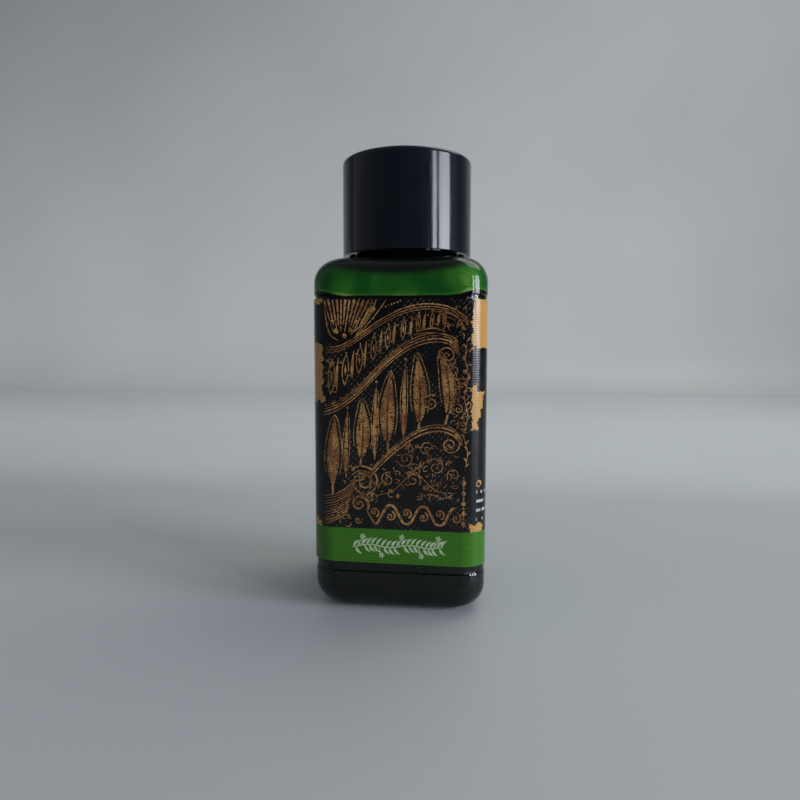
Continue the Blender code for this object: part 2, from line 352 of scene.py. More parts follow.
@dataclass(frozen=True)
class InkFilm(Finish):
    """The same PET where it is wet with green ink inside, above the fill.

    The film is bright where it has drained thin, along the ink's edge and in a few places on the shoulder.
    It is deep green where it is seen at a glance, and nearly black under the neck: painted shade and
    reflection of the cap.
    Each drained place is x, y and z of its middle, its reach, and how far it has drained.
    """

    name: str = "PET_wetted_by_green_ink_with_painted_neck_shade"
    pale: str = "#DCF593"
    bright: str = "#52A836"
    mid: str = "#1F7428"
    deep: str = "#0D2612"
    # Painted shade and reflection of the cap, under the neck.
    neck: str = "#0B1513"
    ink: str = "#04090D"
    ior: float = 1.42
    clarity: float = 0.55
    roughness: float = 0.03
    blotch_size: float = 5.0
    ink_edge: float = 50.65
    blotch_share: float = 0.4
    line_width: float = 0.8
    line_share: float = 0.45
    cover: Point = (0.1, -0.05)
    corner_rise: Place = (8.0, 13.0, 0.9)
    neck_shade_height: float = 54.0
    neck_shade_sag: float = 10.9
    neck_shade_blend: float = 0.7
    drained: tuple[tuple[float, float, float, float, float], ...] = (
        (9.8, -13.4, 53.4, 4.0, 0.65),
        (11.4, -13.2, 52.4, 2.6, 0.25),
        (-8.2, -13.8, 51.9, 3.0, 0.35),
        (13.6, 4.0, 53.6, 3.4, 0.8),
        (-5.5, 13.6, 53.2, 3.6, 0.7),
        (-13.7, -1.0, 52.9, 3.0, 0.6),
    )

    def thinness(self, tree: bpy.types.NodeTree, place: Any, above_ink: Any) -> bpy.types.NodeSocket:
        """Adds how far the film has drained.

        Args:
            tree: The node tree.
            place: Object coordinates.
            above_ink: Height above the ink's edge.

        Returns:
            0 where the film is whole and 1 where it is thinnest.
        """
        blotches = noise(tree, place, self.blotch_size, Detail=2.0, Distortion=0.6)
        thin = add_node(
            tree,
            "MapRange",
            {"Value": blotches, "From Min": 0.35, "From Max": 0.75, "To Max": self.blotch_share},
        ).outputs["Result"]
        line = add_node(
            tree,
            "MapRange",
            {
                "Value": above_ink,
                "From Min": self.line_width * MM,
                "From Max": 0.0,
                "To Max": self.line_share,
            },
            interpolation_type="SMOOTHSTEP",
        )
        thin = add_node(tree, "Math", {0: thin, 1: line.outputs["Result"]}, operation="ADD").outputs[0]
        for x, y, z, reach, share in self.drained:
            middle = Vector((x, y, z)) * MM
            away = add_node(tree, "VectorMath", {0: place, 1: middle}, operation="DISTANCE")
            spot = add_node(
                tree,
                "MapRange",
                {"Value": away.outputs["Value"], "From Min": reach * MM, "From Max": 0.0, "To Max": share},
                interpolation_type="SMOOTHSTEP",
            )
            thin = add_node(tree, "Math", {0: thin, 1: spot.outputs["Result"]}, operation="ADD").outputs[0]
        return thin

    def gathered(self, tree: bpy.types.NodeTree, along: Any, height: Any) -> bpy.types.NodeSocket:
        """Adds the painted shade and reflection of the cap under the neck, lowest in the middle of each
        side.

        Args:
            tree: The node tree.
            along: Distance from the middle of the side.
            height: Height above the table.

        Returns:
            0 on the shoulder and 1 at the neck.
        """
        square = add_node(tree, "Math", {0: along, 1: along}, operation="MULTIPLY").outputs[0]
        edge = add_node(
            tree, "Math", {0: square, 1: self.neck_shade_sag, 2: self.neck_shade_height * MM}, operation="MULTIPLY_ADD"
        )
        above = add_node(tree, "Math", {0: height, 1: edge.outputs[0]}, operation="SUBTRACT")
        blend = self.neck_shade_blend * MM
        return add_node(
            tree,
            "MapRange",
            {"Value": above.outputs[0], "From Min": -blend, "From Max": blend},
            interpolation_type="SMOOTHSTEP",
        ).outputs["Result"]

    def height_above_ink(self, tree: bpy.types.NodeTree, along: Any, height: Any) -> bpy.types.NodeSocket:
        """Adds the height above the ink's edge, which climbs into the bottle's corners.

        Args:
            tree: The node tree.
            along: Distance from the middle of the side.
            height: Height above the table.

        Returns:
            The height above the edge, in metres.
        """
        start, end, rise = self.corner_rise
        climb = add_node(
            tree,
            "MapRange",
            {"Value": along, "From Min": start * MM, "From Max": end * MM, "To Max": rise * MM},
            interpolation_type="SMOOTHSTEP",
        )
        edge = add_node(tree, "Math", {0: climb.outputs["Result"], 1: self.ink_edge * MM}, operation="ADD")
        return add_node(tree, "Math", {0: height, 1: edge.outputs[0]}, operation="SUBTRACT").outputs[0]

    def material(self) -> bpy.types.Material:
        """Builds the material.

        Returns:
            The material.
        """
        material, tree, shader, place = self.start(
            Transmission_Weight=self.clarity, IOR=self.ior, Roughness=self.roughness
        )
        axes = add_node(tree, "SeparateXYZ", {"Vector": place})
        height = axes.outputs["Z"]
        ways = [
            add_node(tree, "Math", {0: axes.outputs[axis]}, operation="ABSOLUTE").outputs[0]
            for axis in "XY"
        ]
        along = add_node(tree, "Math", {0: ways[0], 1: ways[1]}, operation="MINIMUM").outputs[0]
        above_ink = self.height_above_ink(tree, along, height)
        tint = add_node(
            tree,
            "ValToRGB",
            {"Fac": self.thinness(tree, place, above_ink)},
            stops=[(0.1, linear(self.mid)), (0.6, linear(self.bright)), (1.0, linear(self.pale))],
        )
        glance = add_node(tree, "LayerWeight", {"Blend": 0.35})
        edges = add_node(
            tree, "ValToRGB", {"Fac": glance.outputs["Facing"]}, stops=[(0.45, 0.0), (0.8, 1.0)]
        )
        clear, dark = self.cover
        covered = add_node(
            tree, "MapRange", {"Value": above_ink, "From Min": clear * MM, "From Max": dark * MM}
        )
        colour = tint.outputs["Color"]
        for factor, deeper in (
            (edges.outputs["Color"], self.deep),
            # Nearly black under the neck: painted shade and reflection of the cap.
            (self.gathered(tree, along, height), self.neck),
            (covered.outputs["Result"], self.ink),
        ):
            mix = add_node(
                tree, "Mix", {"Factor": factor, 6: colour, 7: linear(deeper)}, data_type="RGBA"
            )
            colour = mix.outputs[2]
        tree.links.new(colour, shader.inputs["Base Color"])
        return material


@dataclass(frozen=True)
class GreenInk(Finish):
    """Green dye ink in depth: so strong that it is near black, with a green cast where light grazes it."""

    name: str = "green_dye_ink"
    deep: str = "#010304"
    cast: str = "#03100A"
    # Against plastic instead of air the ink has little gloss of its own.
    ior: float = 1.18
    drift_size: float = 9.0

    def material(self) -> bpy.types.Material:
        """Builds the material.

        Returns:
            The material.
        """
        material, tree, shader, place = self.start(IOR=self.ior, Roughness=0.05)
        drift = noise(tree, place, self.drift_size, Detail=2.0)
        colour = add_node(
            tree, "ValToRGB", {"Fac": drift}, stops=[(0.35, linear(self.deep)), (0.75, linear(self.cast))]
        )
        tree.links.new(colour.outputs["Color"], shader.inputs["Base Color"])
        return material


@dataclass(frozen=True)
class MouldedBlack(Finish):
    """Black polypropylene, moulded in a polished tool: glossy, with faint flow marks and hair scratches."""

    name: str = "black_polypropylene_moulded"
    colour: str = "#0A121B"
    worn: str = "#101822"
    roughness: float = 0.1
    scratched: float = 0.22
    ior: float = 1.46
    scratch_width: float = 0.25
    scratch_length: float = 9.0
    flow_size: float = 5.0

    def material(self) -> bpy.types.Material:
        """Builds the material.

        Returns:
            The material.
        """
        material, tree, shader, place = self.start(IOR=self.ior, Metallic=0.0)
        stretched = add_node(
            tree,
            "Mapping",
            {"Vector": place, "Scale": (1.0, 1.0, self.scratch_width / self.scratch_length)},
        )
        scratches = noise(tree, stretched.outputs["Vector"], self.scratch_width, Detail=3.0)
        gloss = add_node(
            tree,
            "MapRange",
            {
                "Value": scratches,
                "From Min": 0.45,
                "From Max": 0.8,
                "To Min": self.roughness,
                "To Max": self.scratched,
            },
        )
        flow = noise(tree, place, self.flow_size, Detail=2.0)
        colour = add_node(
            tree, "ValToRGB", {"Fac": flow}, stops=[(0.3, linear(self.colour)), (0.8, linear(self.worn))]
        )
        bump = add_node(tree, "Bump", {"Height": flow, "Distance": 0.01 * MM})
        tree.links.new(gloss.outputs["Result"], shader.inputs["Roughness"])
        tree.links.new(colour.outputs["Color"], shader.inputs["Base Color"])
        tree.links.new(bump.outputs["Normal"], shader.inputs["Normal"])
        return material


@dataclass(frozen=True)
class LinerFoam(Finish):
    """White expanded polyethylene: soft closed cells about 0.3 mm across, stained green inside the rim."""

    name: str = "white_polyethylene_foam"
    light: str = "#EDEDE6"
    shade: str = "#D5D6CC"
    stain: str = "#1E5A24"
    cell: float = 0.3
    stain_radius: float = 6.9
    stain_size: float = 2.2
    stain_creep: float = 1.5
    stain_fade: float = 1.2
    stain_depth: float = 0.85

    def material(self) -> bpy.types.Material:
        """Builds the material.

        Returns:
            The material.
        """
        material, tree, shader, place = self.start(Roughness=0.8)
        cells = add_node(tree, "TexVoronoi", {"Vector": place, "Scale": 1 / (self.cell * MM)})
        colour = add_node(
            tree,
            "ValToRGB",
            {"Fac": cells.outputs["Distance"]},
            stops=[(0.1, linear(self.light)), (0.8, linear(self.shade))],
        )
        axes = add_node(tree, "SeparateXYZ", {"Vector": place})
        flat = add_node(tree, "CombineXYZ", {"X": axes.outputs["X"], "Y": axes.outputs["Y"]})
        away = add_node(tree, "VectorMath", {0: flat.outputs["Vector"]}, operation="LENGTH")
        spread = noise(tree, place, self.stain_size, Detail=3.0)
        creep = add_node(
            tree,
            "Math",
            {0: spread, 1: -self.stain_creep * MM, 2: away.outputs["Value"]},
            operation="MULTIPLY_ADD",
        )
        wet = add_node(
            tree,
            "MapRange",
            {
                "Value": creep.outputs[0],
                "From Min": self.stain_radius * MM,
                "From Max": (self.stain_radius - self.stain_fade) * MM,
                "To Max": self.stain_depth,
            },
        )
        stained = add_node(
            tree,
            "Mix",
            {"Factor": wet.outputs["Result"], 6: colour.outputs["Color"], 7: linear(self.stain)},
            data_type="RGBA",
        )
        bump = add_node(tree, "Bump", {"Height": cells.outputs["Distance"], "Distance": 0.03 * MM})
        tree.links.new(stained.outputs[2], shader.inputs["Base Color"])
        tree.links.new(bump.outputs["Normal"], shader.inputs["Normal"])
        return material


@dataclass(frozen=True)
class PrintedFilm(Finish):
    """Polypropylene label film, printed: black, with torn patches of gold and a green colour band.

    The print has the fine ribs of its screen, and a faint engraved hatching in fields between the ornaments
    of the front panel. Its UV map is in metres: along the label from the middle of the front, and up from
    its lower edge. Each patch is its middle and its half sizes, along and up.
    """

    name: str = "label_film_printed"
    black: str = "#08090B"
    hatching: str = "#4E463C"
    green: str = "#45851A"
    green_rib: str = "#336A10"
    gold: str = "#CDA057"
    gold_rib: str = "#B4884A"
    roughness: float = 0.16
    rubbed: float = 0.3
    band_height: float = 5.55
    front_half: float = 11.5
    rib: float = 0.36
    hatch_pitch: float = 0.6
    hatch_angle: float = 0.85
    hatch_line: float = 0.74
    hatch_dash: float = 0.4
    field_size: float = 5.0
    rub_size: float = 1.1
    torn: float = 1.5
    tear_range: float = 1.4
    tear_reach: float = 0.7
    patches: tuple[tuple[float, float, float, float], ...] = (
        (14.9, 38.9, 3.1, 4.4),
        (12.6, 25.8, 0.9, 2.0),
        (13.2, 26.2, 0.8, 1.3),
        (12.3, 23.2, 0.5, 1.3),
        (12.3, 28.0, 0.4, 0.9),
        (13.0, 6.0, 1.3, 0.7),
        (-13.6, 30.2, 1.6, 4.6),
        (-13.4, 42.4, 1.6, 1.0),
        (-13.2, 6.0, 0.9, 0.8),
        (27.0, 40.0, 4.5, 3.6),
        (31.0, 22.0, 5.0, 4.0),
        (23.5, 31.0, 2.6, 2.2),
        (-26.0, 38.0, 5.0, 5.0),
        (-31.0, 17.0, 4.6, 4.2),
        (-22.5, 25.0, 2.4, 3.0),
        (-44.0, 33.0, 5.0, 5.5),
        (43.0, 12.0, 5.5, 4.6),
        (46.0, 37.0, 4.0, 4.6),
    )

    def patch(
        self,
        tree: bpy.types.NodeTree,
        along: bpy.types.NodeSocket,
        up: bpy.types.NodeSocket,
        ragged: bpy.types.NodeSocket,
        shape: tuple[float, float, float, float],
    ) -> bpy.types.NodeSocket:
        """Adds one torn patch.

        Args:
            tree: The node tree.
            along: Place along the label.
            up: Place up the label.
            ragged: How far the torn edge strays.
            shape: The patch's middle and its half sizes, along and up, in mm.

        Returns:
            1 on the patch and 0 elsewhere.
        """
        sides = []
        for value, middle, half in ((along, shape[0], shape[2]), (up, shape[1], shape[3])):
            inward = min(self.tear_reach, 0.9 * half)
            offset = add_node(tree, "Math", {0: value, 1: middle * MM}, operation="SUBTRACT")
            away = add_node(tree, "Math", {0: offset.outputs[0]}, operation="ABSOLUTE")
            torn = add_node(
                tree,
                "Math",
                {0: ragged, 1: inward / self.tear_reach, 2: away.outputs[0]},
                operation="MULTIPLY_ADD",
            )
            edge = add_node(tree, "Math", {0: torn.outputs[0], 1: half * MM}, operation="LESS_THAN")
            sides.append(edge.outputs[0])
        return add_node(tree, "Math", {0: sides[0], 1: sides[1]}, operation="MULTIPLY").outputs[0]

    def material(self) -> bpy.types.Material:
        """Builds the material.

        Returns:
            The material.
        """
        material, tree, shader, place = self.start(IOR=1.4)
        chart = add_node(tree, "UVMap", uv_map="label").outputs["UV"]
        axes = add_node(tree, "SeparateXYZ", {"Vector": chart})
        along, up = axes.outputs["X"], axes.outputs["Y"]
        tear = noise(tree, chart, self.torn, Detail=4.0, Roughness=0.65)
        stray = self.tear_range * MM
        ragged = add_node(
            tree, "MapRange", {"Value": tear, "To Min": -stray, "To Max": stray}
        ).outputs["Result"]
        gold = None
        for shape in self.patches:
            found = self.patch(tree, along, up, ragged, shape)
            if gold is not None:
                found = add_node(tree, "Math", {0: gold, 1: found}, operation="MAXIMUM").outputs[0]
            gold = found
        ribs = add_node(
            tree,
            "TexWave",
            {
                "Vector": chart,
                "Scale": WAVE_PERIOD / (self.rib * MM),
                "Distortion": 0.4,
                "Detail Scale": 900.0,
            },
            bands_direction="Y",
        )
        rib = add_node(
            tree, "ValToRGB", {"Fac": ribs.outputs["Fac"]}, stops=[(0.2, 0.0), (0.9, 1.0)]
        ).outputs["Color"]
        gilt, grass = (
            add_node(
                tree, "Mix", {"Factor": rib, 6: linear(dark), 7: linear(light)}, data_type="RGBA"
            ).outputs[2]
            for dark, light in ((self.gold_rib, self.gold), (self.green_rib, self.green))
        )
        turn = add_node(tree, "Mapping", {"Vector": chart, "Rotation": (0.0, 0.0, -self.hatch_angle)})
        lines, dashes = (
            add_node(
                tree,
                "TexWave",
                {
                    "Vector": turn.outputs["Vector"],
                    "Scale": WAVE_PERIOD / (pitch * MM),
                    "Distortion": 1.2,
                    "Detail Scale": 300.0,
                },
                bands_direction=way,
            ).outputs["Fac"]
            for pitch, way in ((self.hatch_pitch, "Y"), (self.hatch_pitch * 1.3, "X"))
        )
        line = add_node(tree, "Math", {0: lines, 1: self.hatch_line}, operation="GREATER_THAN")
        dash = add_node(tree, "Math", {0: dashes, 1: self.hatch_dash}, operation="GREATER_THAN")
        across = add_node(tree, "Math", {0: along}, operation="ABSOLUTE")
        front = add_node(
            tree, "Math", {0: across.outputs[0], 1: self.front_half * MM}, operation="LESS_THAN"
        )
        drawn = add_node(tree, "Math", {0: line.outputs[0], 1: dash.outputs[0]}, operation="MULTIPLY")
        drift = noise(tree, chart, self.field_size, Detail=1.0)
        fields = add_node(tree, "ValToRGB", {"Fac": drift}, stops=[(0.44, 0.0), (0.6, 1.0)])
        engraved = add_node(tree, "Math", {0: drawn.outputs[0], 1: front.outputs[0]}, operation="MULTIPLY")
        strength = add_node(
            tree, "Math", {0: engraved.outputs[0], 1: fields.outputs["Color"]}, operation="MULTIPLY"
        )
        ground = add_node(
            tree,
            "Mix",
            {"Factor": strength.outputs[0], 6: linear(self.black), 7: linear(self.hatching)},
            data_type="RGBA",
        )
        gilded = add_node(
            tree, "Mix", {"Factor": gold, 6: ground.outputs[2], 7: gilt}, data_type="RGBA"
        )
        band = add_node(tree, "Math", {0: up, 1: self.band_height * MM}, operation="LESS_THAN")
        colour = add_node(
            tree, "Mix", {"Factor": band.outputs[0], 6: gilded.outputs[2], 7: grass}, data_type="RGBA"
        )
        rubbing = add_node(
            tree,
            "MapRange",
            {
                "Value": noise(tree, place, self.rub_size, Detail=3.0),
                "From Min": 0.4,
                "From Max": 0.8,
                "To Min": self.roughness,
                "To Max": self.rubbed,
            },
        )
        bump = add_node(tree, "Bump", {"Height": ribs.outputs["Fac"], "Distance": 0.004 * MM})
        tree.links.new(colour.outputs[2], shader.inputs["Base Color"])
        tree.links.new(rubbing.outputs["Result"], shader.inputs["Roughness"])
        tree.links.new(bump.outputs["Normal"], shader.inputs["Normal"])
        return material


@dataclass(frozen=True)
class BronzeInk(Finish):
    """Bronze printing ink: a matt brown gold, laid in dots of the screen that leave small dark specks."""

    name: str = "bronze_ink_printed"
    rich: str = "#C09052"
    thin: str = "#956034"
    speck: str = "#3A2413"
    screen: float = 0.34
    shading: float = 2.4

    def material(self) -> bpy.types.Material:
        """Builds the material.

        Returns:
            The material.
        """
        material, tree, shader, place = self.start(Roughness=0.45)
        tone = noise(tree, place, self.shading, Detail=1.0)
        colour = add_node(
            tree, "ValToRGB", {"Fac": tone}, stops=[(0.40, linear(self.thin)), (0.60, linear(self.rich))]
        )
        dots = noise(tree, place, self.screen, Detail=1.0)
        specks = add_node(tree, "ValToRGB", {"Fac": dots}, stops=[(0.36, 1.0), (0.46, 0.0)])
        laid = add_node(
            tree,
            "Mix",
            {"Factor": specks.outputs["Color"], 6: colour.outputs["Color"], 7: linear(self.speck)},
            data_type="RGBA",
        )
        tree.links.new(laid.outputs[2], shader.inputs["Base Color"])
        return material


@dataclass(frozen=True)
class PaleInk(Finish):
    """Pale printing ink, a little uneven in its lay: green for the sprig, and by other values white."""

    name: str = "pale_ink_printed"
    light: str = "#C9DDB4"
    shade: str = "#A9C48E"
    lay: float = 0.3

    def material(self) -> bpy.types.Material:
        """Builds the material.

        Returns:
            The material.
        """
        material, tree, shader, place = self.start(Roughness=0.4)
        lay = noise(tree, place, self.lay, Detail=2.0)
        colour = add_node(
            tree, "ValToRGB", {"Fac": lay}, stops=[(0.35, linear(self.shade)), (0.6, linear(self.light))]
        )
        tree.links.new(colour.outputs["Color"], shader.inputs["Base Color"])
        return material


@dataclass(frozen=True)
class MattPaint(Finish):
    """Matt paint of the table, and by other values of the wall."""

    name: str = "matt_table_paint"
    light: str = "#CED5D7"
    shade: str = "#C8CFD1"
    drift_size: float = 120.0

    def material(self) -> bpy.types.Material:
        """Builds the material.

        Returns:
            The material.
        """
        material, tree, shader, place = self.start(Roughness=0.5)
        drift = noise(tree, place, self.drift_size, Detail=2.0)
        colour = add_node(
            tree, "ValToRGB", {"Fac": drift}, stops=[(0.3, linear(self.shade)), (0.7, linear(self.light))]
        )
        tree.links.new(colour.outputs["Color"], shader.inputs["Base Color"])
        return material


# ---------------------------------------------------------------------------------------------------------
# Bottle and ink
# ---------------------------------------------------------------------------------------------------------


@dataclass(frozen=True)
class Section:
    """One level of the square body: its half width, its corner radius and its height, in metres."""

    half: float
    radius: float
    height: float

    def taken_from(self, earlier: Section) -> Callable[[Vector], Vector]:
        """Says where points of an earlier section's outline lie on this one.

        Args:
            earlier: The section that the points are on.

        Returns:
            A function from a point there to its place here.
        """

        def place(point: Vector) -> Vector:
            """Keeps the point's direction round its corner.

            Args:
                point: The point on the earlier outline.

            Returns:
                Its place on this section.
            """
            corner = Vector((math.copysign(1.0, point.x), math.copysign(1.0, point.y)))
            out = (point.xy - corner * (earlier.half - earlier.radius)) / earlier.radius
            return Vector((*(corner * (self.half - self.radius) + out * self.radius), self.height))

        return place


class Side(Enum):
    """The wall's two surfaces, by how far each lies inside the body's outline."""

    OUTER = 0.0
    INNER = 0.0009


@dataclass
class Bottle:
    """The clear bottle: square body, push-up base, round shoulder, and a neck with a bead and a thread."""

    material: bpy.types.Material
    film: bpy.types.Material
    width: float
    rim: float
    ink_level: float
    corner: float = 3.9 * MM
    corner_shrink: float = 0.25
    shoulder: float = 57.4 * MM
    shoulder_inset: float = 4.0 * MM
    shoulder_drop: float = 4.2 * MM
    shoulder_rise: float = 0.3 * MM
    base_narrower: float = 0.07 * MM
    base_inset: float = 4.0 * MM
    base_rise: float = 4.6 * MM
    floor: float = 1.2 * MM
    foot_half: float = 7.4 * MM
    push_up_half: float = 5.2 * MM
    push_up: float = 0.9 * MM
    panel: Point = (6.8 * MM, 50.75 * MM)
    panel_step: float = 0.2 * MM
    recess: float = 0.17 * MM
    waist: float = 0.06 * MM
    corner_segments: int = 23
    round_segments: int = 12
    neck: float = 8.75 * MM
    neck_fillet: float = 0.6 * MM
    bore: float = 6.75 * MM
    rim_rounding: float = 0.3 * MM
    bead: float = 9.6 * MM
    bead_heights: tuple[float, float, float, float] = (58.7 * MM, 59.0 * MM, 60.1 * MM, 60.4 * MM)
    thread_crest: float = 9.75 * MM
    thread_widths: Point = (1.5 * MM, 0.8 * MM)
    thread_start: float = 64.3 * MM
    thread_turns: float = 1.5

    def section(self, side: float, inset: float, height: float) -> Section:
        """Gives the section that lies side inside the wall and is rounded in by inset.

        Args:
            side: How far it lies inside the body's outline.
            inset: How far the body is rounded in there.
            height: Its height.

        Returns:
            The section.
        """
        half = self.width / 2 - side - inset
        radius = max(self.corner - side - self.corner_shrink * inset, 0.3 * half)
        return Section(half, radius, height)

    def sections(self, side: Side) -> list[Section]:
        """Lists the body's sections from the middle of the base to the end of the shoulder's rounding.

        Args:
            side: The wall's surface.

        Returns:
            The sections from the bottom up.
        """
        wall = side.value
        floor = self.floor if side is Side.INNER else 0.0
        narrow = wall + self.base_narrower
        half = self.width / 2 - narrow
        low, high = self.panel
        found = [
            self.section(narrow, half - self.push_up_half * share, floor + self.push_up * lift)
            for share, lift in ((0.2, 1.12), (0.6, 1.1), (1.0, 1.0), (1.15, 0.84), (1.3, 0.36))
        ]
        found.append(self.section(narrow, half - self.foot_half, floor))
        for step in range(self.round_segments + 1):
            angle = step / self.round_segments * QUARTER
            inset = self.base_inset * (1 - math.sin(angle))
            found.append(self.section(narrow, inset, floor + self.base_rise * (1 - math.cos(angle))))
        # A second section close beside each end of a step keeps the shading of the long faces flat.
        deep = wall + self.recess
        hold = self.panel_step
        found.append(self.section(narrow, 0.0, low - self.panel_step - hold))
        found.append(self.section(narrow, 0.0, low - self.panel_step))
        found.append(self.section(deep, 0.0, low))
        found.append(self.section(deep, 0.0, low + hold))
        for share in (0.15, 0.3, 0.5, 0.7, 0.85):
            sunk = self.waist * math.sin(share * math.pi)
            found.append(self.section(deep + sunk, 0.0, low + (high - low) * share))
        found.append(self.section(deep, 0.0, high - hold))
        found.append(self.section(deep, 0.0, high))
        found.append(self.section(wall, 0.0, high + self.panel_step))
        found.append(self.section(wall, 0.0, high + self.panel_step + hold))
        start = self.shoulder - self.shoulder_rise - self.shoulder_drop - wall
        for step in range(self.round_segments + 1):
            angle = step / self.round_segments * QUARTER
            inset = self.shoulder_inset * (1 - math.cos(angle))
            found.append(self.section(wall, inset, start + self.shoulder_drop * math.sin(angle)))
        return found

    def outline(self, bm: bmesh.types.BMesh, section: Section) -> list[bmesh.types.BMEdge]:
        """Draws one section's outline, a square with round corners.

        Args:
            bm: The mesh that takes it.
            section: The section.

        Returns:
            Its ring of edges.
        """
        others = set(bm.edges)
        corners = bmesh.ops.create_circle(
            bm,
            cap_ends=False,
            segments=4,
            radius=section.half * math.sqrt(2),
            matrix=Matrix.Translation((0, 0, section.height)) @ Matrix.Rotation(QUARTER / 2, 4, "Z"),
        )
        bmesh.ops.bevel(
            bm,
            geom=corners["verts"],
            offset=section.radius,
            offset_type="OFFSET",
            segments=self.corner_segments,
            profile=0.5,
            affect="VERTICES",
            material=-1,
        )
        return [edge for edge in bm.edges if edge not in others]

    def wall(
        self, bm: bmesh.types.BMesh, sections: list[Section]
    ) -> tuple[list[bmesh.types.BMEdge], list[bmesh.types.BMEdge]]:
        """Lofts one surface of the body and closes it in the middle of the base.

        Args:
            bm: The mesh that takes it.
            sections: Its sections from the bottom up.

        Returns:
            The rings of edges at its bottom and its top.
        """
        first = ring = self.outline(bm, sections[0])
        bmesh.ops.contextual_create(bm, geom=first)
        for earlier, section in zip(sections, sections[1:]):
            ring = next_ring(bm, ring, section.taken_from(earlier))
        return first, ring

    def neck_loop(self, bm: bmesh.types.BMesh, radius: float, height: float) -> list[bmesh.types.BMEdge]:
        """Draws a circle with as many edges as a section's outline has.

        Args:
            bm: The mesh that takes it.
            radius: The circle's radius.
            height: Its height.

        Returns:
            The circle's edges.
        """
        count = 4 * (self.corner_segments + 1)
        made = bmesh.ops.create_circle(bm, cap_ends=False, segments=count, radius=radius)
        for vert in made["verts"]:
            vert.co.z = height
        return list({edge for vert in made["verts"] for edge in vert.link_edges})

    def climb(
        self, bm: bmesh.types.BMesh, ring: list[bmesh.types.BMEdge], profile: Sequence[Point]
    ) -> list[bmesh.types.BMEdge]:
        """Extrudes a circle through radii and heights.

        Args:
            bm: The mesh.
            ring: The circle's edges.
            profile: Radius and height of each next circle.

        Returns:
            The last circle's edges.
        """
        for radius, height in profile:
            ring = next_ring(bm, ring, lambda co: Vector((*(co.xy.normalized() * radius), height)))
        return ring

    def rounding(self, centre: Point, radius: float, start: float, end: float) -> list[Point]:
        """Lists radius and height along an arc.

        Args:
            centre: Radius and height of the arc's centre.
            radius: The arc's own radius.
            start: Its first angle in degrees, from outwards to up.
            end: Its last angle in degrees.

        Returns:
            Seven points.
        """
        angles = [math.radians(start + (end - start) * step / 6) for step in range(7)]
        return [
            (centre[0] + radius * math.cos(angle), centre[1] + radius * math.sin(angle)) for angle in angles
        ]

    def body(self) -> bpy.types.Object:
        """Builds the bottle without its thread, as one closed wall.

        Returns:
            The body with its neck.
        """
        bm = bmesh.new()
        _, outer = self.wall(bm, self.sections(Side.OUTER))
        _, inner = self.wall(bm, self.sections(Side.INNER))
        fillet = (self.neck + self.neck_fillet, self.shoulder + self.neck_fillet)
        under, low, high, over = self.bead_heights
        edge = self.rim_rounding
        ease = 0.1 * MM
        root = (self.bore + 2 * edge, self.shoulder - Side.INNER.value + 2 * edge)
        start = self.neck_loop(bm, fillet[0], self.shoulder)
        bmesh.ops.bridge_loops(bm, edges=outer + start)
        top = self.climb(
            bm,
            start,
            [
                *self.rounding(fillet, self.neck_fillet, 270, 180)[1:],
                (self.neck, under),
                (self.bead - ease, low - ease / 2),
                (self.bead, low + ease),
                (self.bead, high - ease),
                (self.bead - ease, high + ease / 2),
                (self.neck, over),
                *[(self.neck, over + (self.rim - edge - over) * share) for share in (0.25, 0.5, 0.75)],
                *self.rounding((self.neck - edge, self.rim - edge), edge, 0, 90),
                *self.rounding((self.bore + edge, self.rim - edge), edge, 90, 180),
                (self.bore, self.shoulder + 4 * MM),
                *self.rounding(root, 2 * edge, 180, 270),
            ],
        )
        bmesh.ops.bridge_loops(bm, edges=inner + top)
        bmesh.ops.recalc_face_normals(bm, faces=bm.faces)
        # Above the fill, the faces below the bead and all of the bore take the film's finish, which paints
        # the cap's shade and reflection under the neck.
        for face in bm.faces:
            middle = face.calc_center_median()
            wetted = middle.z < under or middle.xy.length < self.bore + 0.2 * MM
            if middle.z > self.ink_level and wetted:
                face.material_index = 1
        return new_object("pet_bottle", bm, self.material, self.film)

    def thread(self) -> bpy.types.Object:
        """Builds the neck's helical ridge, which runs out at both ends.

        Returns:
            The ridge, which is to be joined to the body.
        """
        return helical_ridge(
            "neck_thread",
            wall=self.neck,
            crest=self.thread_crest,
            widths=self.thread_widths,
            start=self.thread_start,
            turns=(0.0, self.thread_turns),
        )

    def build(self) -> list[bpy.types.Object]:
        """Builds the bottle.

        Returns:
            The finished pieces.
        """
        bottle = self.body()
        ridge = self.thread()
        joined = bottle.modifiers.new("thread", "BOOLEAN")
        joined.operation = "UNION"
        joined.solver = "EXACT"
        joined.object = ridge
        settle(bottle)
        bpy.data.objects.remove(ridge, do_unlink=True)
        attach(bottle, "bottle")
        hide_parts("bottle")
        return [bottle]


